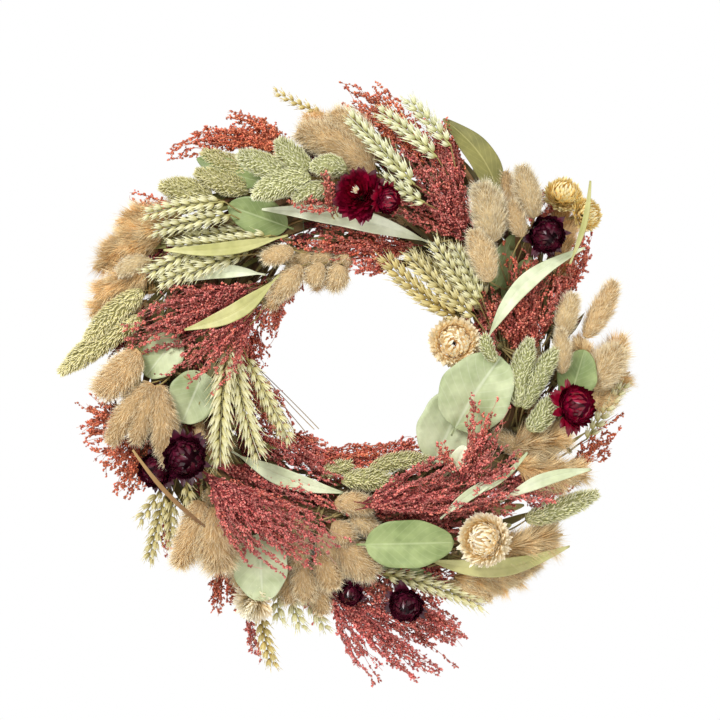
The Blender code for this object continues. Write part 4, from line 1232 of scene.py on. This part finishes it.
# slot: (main colours from foot to tip, other colours from foot to tip, roughness, sheen)
PAINTS = {
    "strawflower_crimson": (
        ((0, (204, 34, 80)), (0.5, (168, 8, 38)), (1, (122, 0, 28))),
        ((0, (208, 44, 104)), (0.5, (138, 8, 46)), (1, (64, 4, 26))), 0.26, 0.0),
    "strawflower_plum": (
        ((0, (104, 30, 46)), (0.6, (74, 18, 34)), (1, (48, 12, 22))),
        ((0, (160, 62, 92)), (0.5, (94, 26, 52)), (1, (50, 14, 28))), 0.24, 0.0),
    "strawflower_cream": (
        ((0, (242, 212, 146)), (0.4, (255, 243, 206)), (1, (255, 254, 242))),
        ((0, (240, 196, 130)), (0.4, (254, 230, 184)), (1, (255, 248, 228))), 0.42, 0.0),
    "strawflower_gold": (
        ((0, (250, 226, 170)), (0.4, (255, 246, 212)), (1, (255, 255, 242))),
        ((0, (244, 196, 134)), (0.4, (255, 226, 172)), (1, (255, 242, 210))), 0.42, 0.0),
    "strawflower_straw": (
        ((0, (234, 196, 112)), (0.4, (254, 234, 166)), (1, (255, 250, 218))),
        ((0, (226, 180, 92)), (0.4, (252, 226, 148)), (1, (255, 246, 196))), 0.42, 0.0),
    "wheat": (
        ((0, (186, 182, 104)), (0.3, (214, 214, 160)), (0.7, (232, 234, 200)), (1, (246, 246, 226))),
        ((0, (150, 116, 48)), (0.3, (194, 168, 90)), (0.7, (222, 204, 134)), (1, (242, 230, 184))),
        0.6, 0.0),
    "phalaris": (
        ((0, (158, 160, 90)), (0.3, (210, 212, 152)), (0.65, (236, 236, 198)), (1, (252, 250, 232))),
        ((0, (152, 146, 80)), (0.3, (208, 200, 134)), (0.65, (232, 224, 172)), (1, (250, 244, 212))),
        0.62, 0.0),
    # tail hairs: darker at the root and near white at the tip, partly their own colour and partly painted
    # shade deep in the fuzz with a painted highlight on the tips
    "bunny_tail": (
        ((0, (192, 162, 108)), (0.5, (242, 227, 186)), (1, (255, 253, 238))),
        ((0, (180, 134, 76)), (0.5, (234, 206, 152)), (1, (255, 247, 218))), 0.8, 0.3),
    "plume": (
        ((0, (164, 104, 40)), (0.4, (226, 172, 96)), (1, (252, 222, 160))),
        ((0, (190, 150, 84)), (0.4, (240, 210, 152)), (1, (255, 244, 208))), 0.75, 0.25),
    "broom_corn": (
        ((0, (146, 42, 50)), (0.45, (214, 104, 99)), (1, (250, 183, 168))),
        ((0, (158, 50, 30)), (0.45, (222, 110, 72)), (1, (250, 174, 126))), 0.5, 0.0),
    # a darker copy of broom_corn for the filler sprays: painted shade in the gaps between the picks
    "broom_painted_shade": (
        ((0, (70, 14, 20)), (0.5, (112, 28, 34)), (1, (150, 56, 52))),
        ((0, (80, 18, 16)), (0.5, (130, 40, 30)), (1, (160, 70, 50))), 0.6, 0.0),
    "stems": (
        ((0, (112, 104, 60)), (0.5, (150, 140, 86)), (1, (176, 164, 104))),
        ((0, (104, 66, 38)), (0.5, (150, 108, 62)), (1, (186, 150, 96))), 0.62, 0.0),
    "filler_leaf": (
        ((0, (84, 82, 40)), (0.5, (112, 112, 58)), (1, (150, 144, 84))),
        ((0, (74, 44, 28)), (0.5, (112, 74, 44)), (1, (150, 112, 68))), 0.65, 0.0),
}

# how dark and how bright the elements of a slot get, where it isn't the usual range
USUAL_TONES = (0.66, 1.22)
TONES = {
    "broom_corn": (0.5, 1.28), "broom_painted_shade": (0.5, 1.4),
    "phalaris": (0.70, 1.24), "wheat": (0.6, 1.2),
    "strawflower_crimson": (0.45, 1.4), "strawflower_plum": (0.5, 1.4),
    "strawflower_cream": (0.84, 1.12), "strawflower_gold": (0.9, 1.1), "strawflower_straw": (0.8, 1.16),
}

# slot: (main two colours of the blade, other two colours, vein colour)
LEAF_PAINTS = {
    "leaf_green": (((146, 164, 104), (182, 196, 142)), ((98, 116, 58), (140, 156, 92)), (190, 202, 152)),
    "leaf_pale": (((216, 222, 184), (240, 244, 218)), ((156, 170, 120), (196, 206, 160)), (226, 232, 204)),
    "leaf_olive": (((100, 100, 46), (136, 132, 70)), ((190, 188, 116), (216, 212, 150)), (196, 188, 120)),
}


def add_node(tree, kind, inputs=None, **settings):
    """A node of this kind, with its settings and with values or links put on its inputs."""
    made = tree.nodes.new(kind)
    for key, value in settings.items():
        setattr(made, key, value)
    for key, value in (inputs or {}).items():
        if isinstance(value, bpy.types.NodeSocket):
            tree.links.new(value, made.inputs[key])
        else:
            made.inputs[key].default_value = value
    return made


def read_number(tree, name):
    return add_node(tree, "ShaderNodeAttribute", attribute_name=name).outputs["Fac"]


def ramp(tree, factor, stops):
    """A colour ramp through these (position, 8-bit colour) stops."""
    made = add_node(tree, "ShaderNodeValToRGB", {"Fac": factor})
    elements = made.color_ramp.elements
    while len(elements) < len(stops):
        elements.new(0.5)
    for element, (position, colour) in zip(elements, stops):
        element.position = position
        element.color = srgb(*colour)
    return made.outputs["Color"]


def mixed(tree, factor, first, second, blend="MIX"):
    made = add_node(tree, "ShaderNodeMix", data_type="RGBA", blend_type=blend)
    for index, value in ((0, factor), (6, first), (7, second)):
        if isinstance(value, bpy.types.NodeSocket):
            tree.links.new(value, made.inputs[index])
        else:
            made.inputs[index].default_value = value
    return made.outputs[2]


def new_material(name, roughness, sheen=0.0):
    made = bpy.data.materials.new(name)
    made.use_nodes = True
    shader = made.node_tree.nodes["Principled BSDF"]
    shader.inputs["Roughness"].default_value = roughness
    if sheen:
        shader.inputs["Sheen Weight"].default_value = sheen
        shader.inputs["Sheen Roughness"].default_value = 0.5
    return made, made.node_tree, shader


def worked_out(tree, operation, *values):
    """The result of this operation on one or two values or sockets."""
    inputs = dict(enumerate(values))
    return add_node(tree, "ShaderNodeMath", inputs, operation=operation).outputs["Value"]


def mapped(tree, value, source, target=(0.0, 1.0)):
    """The value moved from the source range to the target range."""
    return add_node(tree, "ShaderNodeMapRange", {
        "Value": value, "From Min": source[0], "From Max": source[1],
        "To Min": target[0], "To Max": target[1]}).outputs["Result"]


def noise_of(tree, scale, detail, roughness=0.5):
    place = add_node(tree, "ShaderNodeTexCoord").outputs["Object"]
    return add_node(tree, "ShaderNodeTexNoise", {
        "Vector": place, "Scale": scale, "Detail": detail, "Roughness": roughness}).outputs["Fac"]


def brightened(tree, colour, noise_scale, tones):
    """The colour made darker or lighter by its element's tone and by a fine noise."""
    tone = mapped(tree, read_number(tree, "tone"), (0.0, 1.0), tones)
    speckle = mapped(tree, noise_of(tree, noise_scale, 2.0), (0.3, 0.7), (0.92, 1.08))
    value = worked_out(tree, "MULTIPLY", tone, speckle)
    return add_node(tree, "ShaderNodeHueSaturation", {
        "Color": colour, "Value": value}).outputs["Color"]


def dried_look(name):
    """The look of a slot whose elements change colour from foot to tip."""
    main, other, roughness, sheen = PAINTS[name]
    made, tree, shader = new_material(name, roughness, sheen)
    along = read_number(tree, "along")
    colour = mixed(tree, read_number(tree, "hue"), ramp(tree, along, main), ramp(tree, along, other))
    colour = brightened(tree, colour, 320.0, TONES.get(name, USUAL_TONES))
    tree.links.new(colour, shader.inputs["Base Color"])
    return made


def vein_strength(tree):
    """A midrib and slanted side veins, as a number over a blade."""
    off = worked_out(tree, "SUBTRACT", read_number(tree, "across"), 0.5)
    off = worked_out(tree, "ABSOLUTE", off)
    midrib = mapped(tree, off, (0.010, 0.032), (0.5, 0.0))
    lean = worked_out(tree, "MULTIPLY", off, 0.55)
    rise = worked_out(tree, "SUBTRACT", read_number(tree, "along"), lean)
    wave = worked_out(tree, "SINE", worked_out(tree, "MULTIPLY", rise, 62.0))
    side = mapped(tree, wave, (0.86, 1.0), (0.0, 0.16))
    return worked_out(tree, "MAXIMUM", midrib, side)


def leaf_look(name):
    """A waxy blade with soft mottling, a pale midrib and faint side veins."""
    main, other, vein = LEAF_PAINTS[name]
    made, tree, shader = new_material(name, 0.5)
    spread = mapped(tree, noise_of(tree, 42.0, 3.0), (0.36, 0.64))
    first = mixed(tree, spread, srgb(*main[0]), srgb(*main[1]))
    second = mixed(tree, spread, srgb(*other[0]), srgb(*other[1]))
    colour = mixed(tree, read_number(tree, "hue"), first, second)
    veins = vein_strength(tree)
    colour = mixed(tree, veins, colour, srgb(*vein))
    colour = brightened(tree, colour, 160.0, (0.9, 1.1))
    tree.links.new(colour, shader.inputs["Base Color"])
    bump = add_node(tree, "ShaderNodeBump", {"Height": veins, "Strength": 0.35, "Distance": 0.0004})
    tree.links.new(bump.outputs["Normal"], shader.inputs["Normal"])
    return made


def wire_look(name, colour, worn, metallic, roughness):
    """Wire with dull spots."""
    made, tree, shader = new_material(name, roughness)
    shader.inputs["Metallic"].default_value = metallic
    spots = mapped(tree, noise_of(tree, 260.0, 5.0, 0.7), (0.42, 0.68))
    tree.links.new(mixed(tree, spots, srgb(*colour), srgb(*worn)), shader.inputs["Base Color"])
    return made


def make_looks():
    looks = {name: dried_look(name) for name in PAINTS}
    looks.update({name: leaf_look(name) for name in LEAF_PAINTS})
    looks["galvanised_wire"] = wire_look("galvanised_wire", (196, 200, 204), (128, 130, 132), 1.0, 0.38)
    looks["florist_wire"] = wire_look("florist_wire", (52, 84, 50), (96, 104, 72), 0.0, 0.45)
    return looks


LOOKS = make_looks()


# ---------------------------------------------------------------- pieces


# a name that OTHER_COLOUR doesn't list goes this far
USUAL_HUE = 0.2


def hues_of(name, count):
    """The share of the other colour for each head."""
    value = OTHER_COLOUR.get(name, USUAL_HUE)
    return list(value) if isinstance(value, tuple) else [value] * count


# widths of heads over their CAD solids: loose hairs and seeds stand out from them
FULLNESS = {"wheat": 1.0, "phalaris": 1.0, "bunny": 1.1, "plume": 1.5, "broom": 1.45}
# how much of a bunch's way forward its tied foot takes part in
FOOT_SHARE = 0.15
# how much further forward a leaf lies, clear of the seeds about it
LEAF_LIFT = {"willow_leaf_3": 0.004, "willow_leaf_4": 0.002}
# flowers with no solid that lie on top of the picks
RAISED = ("strawflower_13",)
# cream flowers that are a deeper yellow than the rest
STRAW = ("strawflower_2", "strawflower_3")


def finish_piece(obj, node=None):
    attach(obj, "wreath")
    if node:
        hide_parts(node)
    return obj


def make_bunch(name, row, layer=None):
    """A tied bunch: its heads, their stems and the wire round its foot."""
    kind, foot_place, heads = row
    slot = KIND_SLOT[kind]
    rng = random_for(name)
    lift = HEAD_LIFT[kind]
    foot = on_crown(foot_place)
    bases = [on_crown(base, lift * 0.3) for base, _, _ in heads]
    tips = [on_crown(tip, lift) for _, tip, _ in heads]
    if layer is None:
        forward = forward_of(name, tips)
    elif layer == "over":
        samples = [a + (b - a) * t for a, b in zip(bases, tips) for t in (0.2, 0.5, 0.8)]
        forward = forward_over(samples)
    else:
        forward = -UNDER_DROP * 0.5
    shift = FORWARD * forward
    shape = Shape()
    hues = hues_of(name, len(heads))
    for base, tip, (_, _, width), hue in zip(bases, tips, heads, hues):
        spine = Spine(base + shift, tip + shift, rng)
        full = width * MM * FULLNESS[kind]
        if kind == "broom":
            add_spray(shape, spine, full, rng, hue, sparse=name in SPARSE)
        else:
            HEADS[kind](shape, spine, full, rng, hue)
    sweep = unit(bases[0] - foot + 1e-6)
    low_foot = foot + shift * FOOT_SHARE
    add_stems(shape, low_foot, [base + shift for base in bases], rng, sweep)
    add_tie(shape, low_foot, sweep)
    obj = shape.build(f"{name}_{KIND_SUFFIX[kind]}", [LOOKS[slot], LOOKS["stems"]])
    return finish_piece(obj, name if layer is None else None)


def make_leaf(name, row, layer=None):
    """A leaf, in its node's place or over or under the picks."""
    slot, foot_place, tip_place, width, bow, arch, bluntness = row
    rng = random_for(name)
    foot, tip = on_crown(foot_place), on_crown(tip_place, 0.004)
    if layer is None:
        forward = forward_of(name, [tip, foot]) + LEAF_LIFT.get(name, 0.0)
    elif layer == "over":
        forward = forward_over([foot + (tip - foot) * t for t in (0.1, 0.3, 0.5, 0.7, 0.9)])
        forward -= arch * MM * 0.5
    else:
        forward = -UNDER_DROP * 0.3
    shift = FORWARD * forward
    shape = Shape()
    leaf = (width, bow, arch, bluntness)
    add_leaf(shape, foot + shift, tip + shift, leaf, rng, hues_of(name, 1)[0])
    obj = shape.build(f"{name}_blade", [LOOKS[slot]])
    thicken(obj, LEAF_THICKNESS)
    return finish_piece(obj, name if layer is None else None)


def make_flower(name, row, has_node=True):
    """A strawflower with its bracts, calyx and stem."""
    slot, place, size, (bearing, lean) = row
    rng = random_for(name)
    radius = size * MM * BLOOMS[name].get("grow", 1.0)
    centre = on_crown(place, radius * 0.5)
    tilt = math.radians(lean)
    out = outward_at(bearing)
    facing = FORWARD * math.cos(tilt) + out * math.sin(tilt)
    forward = 0.0
    if has_node:
        forward = forward_of(name, [centre - facing * radius * 1.05])
    elif name in RAISED:
        forward = forward_over([centre - facing * radius]) - radius
    centre = centre + FORWARD * forward
    shape = Shape()
    add_bloom(shape, centre, facing, radius, BLOOMS[name], rng)
    add_calyx(shape, centre, facing, radius, rng)
    look = LOOKS["strawflower_straw" if name in STRAW else slot]
    looks = [look, LOOKS["strawflower_cream"], LOOKS["stems"]]
    return finish_piece(shape.build(f"{name}_bloom", looks), name if has_node else None)


def make_bundle():
    rng = random_for("stem_bundle")
    shape = Shape()
    add_bundle_core(shape, rng)
    add_bundle_stems(shape, rng)
    add_dry_blades(shape, rng)
    return finish_piece(shape.build("bundled_stems", [LOOKS["stems"]]), "stem_bundle")


def make_picks():
    for name, row in FLOWERS.items():
        make_flower(name, row)
    for name, row in LEAVES.items():
        make_leaf(name, row)
    for name, row in BUNCHES.items():
        make_bunch(name, row)
    for name, row in MORE_FLOWERS.items():
        make_flower(name, row, has_node=False)
    for name, (*row, layer) in MORE_LEAVES.items():
        make_leaf(name, row, layer)
    for name, (*row, layer) in MORE_BUNCHES.items():
        make_bunch(name, row, layer)


def make_filler():
    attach(make_filler_sprays(), "wreath")
    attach(make_filler_blades(), "wreath")
    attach(make_filler_tails(), "wreath")
    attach(make_back_leaves(), "wreath")
    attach(make_awns(), "wreath")


def dress_wires():
    """The wires keep their CAD shape and get their own looks."""
    for name, look in (("wire_frame", "galvanised_wire"), ("hanging_loop", "galvanised_wire"),
                       ("binding_wire", "florist_wire")):
        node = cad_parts[name]
        node.data.materials.clear()
        node.data.materials.append(LOOKS[look])


# ---------------------------------------------------------------- stage


def make_floor():
    """A plain pale floor far below the hanging wreath."""
    sides, radius, drop = 96, 1.6, 0.60
    floor_z = CAD_BOX[0].z - drop
    points = [(0.0, 0.0, floor_z)]
    for k in range(sides):
        turn = math.tau * k / sides
        points.append((radius * math.cos(turn), radius * math.sin(turn), floor_z))
    faces = [(0, 1 + k, 1 + (k + 1) % sides) for k in range(sides)]
    mesh = bpy.data.meshes.new("floor")
    mesh.from_pydata(points, [], faces)
    floor = bpy.data.objects.new("floor", mesh)
    bpy.context.scene.collection.objects.link(floor)
    made, _, shader = new_material("pale_floor", 0.9)
    shader.inputs["Base Color"].default_value = (0.94, 0.94, 0.94, 1.0)
    mesh.materials.append(made)


def make_world():
    """White ground for the camera, and softer white light for the wreath."""
    world = bpy.data.worlds.new("studio")
    bpy.context.scene.world = world
    world.use_nodes = True
    tree = world.node_tree
    tree.nodes.clear()
    light = add_node(tree, "ShaderNodeBackground", {"Color": (1.0, 0.985, 0.96, 1.0), "Strength": 0.70})
    ground = add_node(tree, "ShaderNodeBackground", {"Color": (1.0, 1.0, 1.0, 1.0), "Strength": 1.0})
    path = add_node(tree, "ShaderNodeLightPath")
    mix = add_node(tree, "ShaderNodeMixShader", {0: path.outputs["Is Camera Ray"]})
    tree.links.new(light.outputs[0], mix.inputs[1])
    tree.links.new(ground.outputs[0], mix.inputs[2])
    output = add_node(tree, "ShaderNodeOutputWorld")
    tree.links.new(mix.outputs[0], output.inputs["Surface"])


def make_lamp(name, place, size, power, aim):
    lamp = bpy.data.lights.new(name, "AREA")
    lamp.shape = "DISK"
    lamp.size = size
    lamp.energy = power
    obj = bpy.data.objects.new(name, lamp)
    bpy.context.scene.collection.objects.link(obj)
    obj.location = place
    obj.rotation_mode = "QUATERNION"
    obj.rotation_quaternion = (Vector(aim) - Vector(place)).to_track_quat("-Z", "Y")


def make_camera():
    """A long lens, straight in front of the ring."""
    lens, sensor = 100.0, 36.0
    seen_width = 0.576
    front_of_picks_y = -0.04
    aside, above = 0.008, 0.0016
    data = bpy.data.cameras.new("camera")
    data.lens = lens
    data.sensor_width = sensor
    camera = bpy.data.objects.new("camera", data)
    bpy.context.scene.collection.objects.link(camera)
    distance = seen_width * lens / sensor
    camera.location = (aside, front_of_picks_y - distance, RING_CENTRE_Z + above)
    camera.rotation_euler = (math.pi / 2, 0.0, 0.0)
    bpy.context.scene.camera = camera


def make_stage():
    make_floor()
    make_world()
    middle = (0.0, -0.04, RING_CENTRE_Z)
    make_lamp("key", (-0.9, -1.5, 0.9), 0.6, 30.0, middle)
    make_lamp("fill", (1.3, -1.2, -0.1), 1.2, 6.0, middle)
    make_lamp("back", (0.6, 1.6, 0.6), 1.2, 10.0, middle)
    make_camera()
    bpy.context.scene.view_settings.view_transform = "Standard"


make_stage()
make_bundle()
make_picks()
make_filler()
dress_wires()
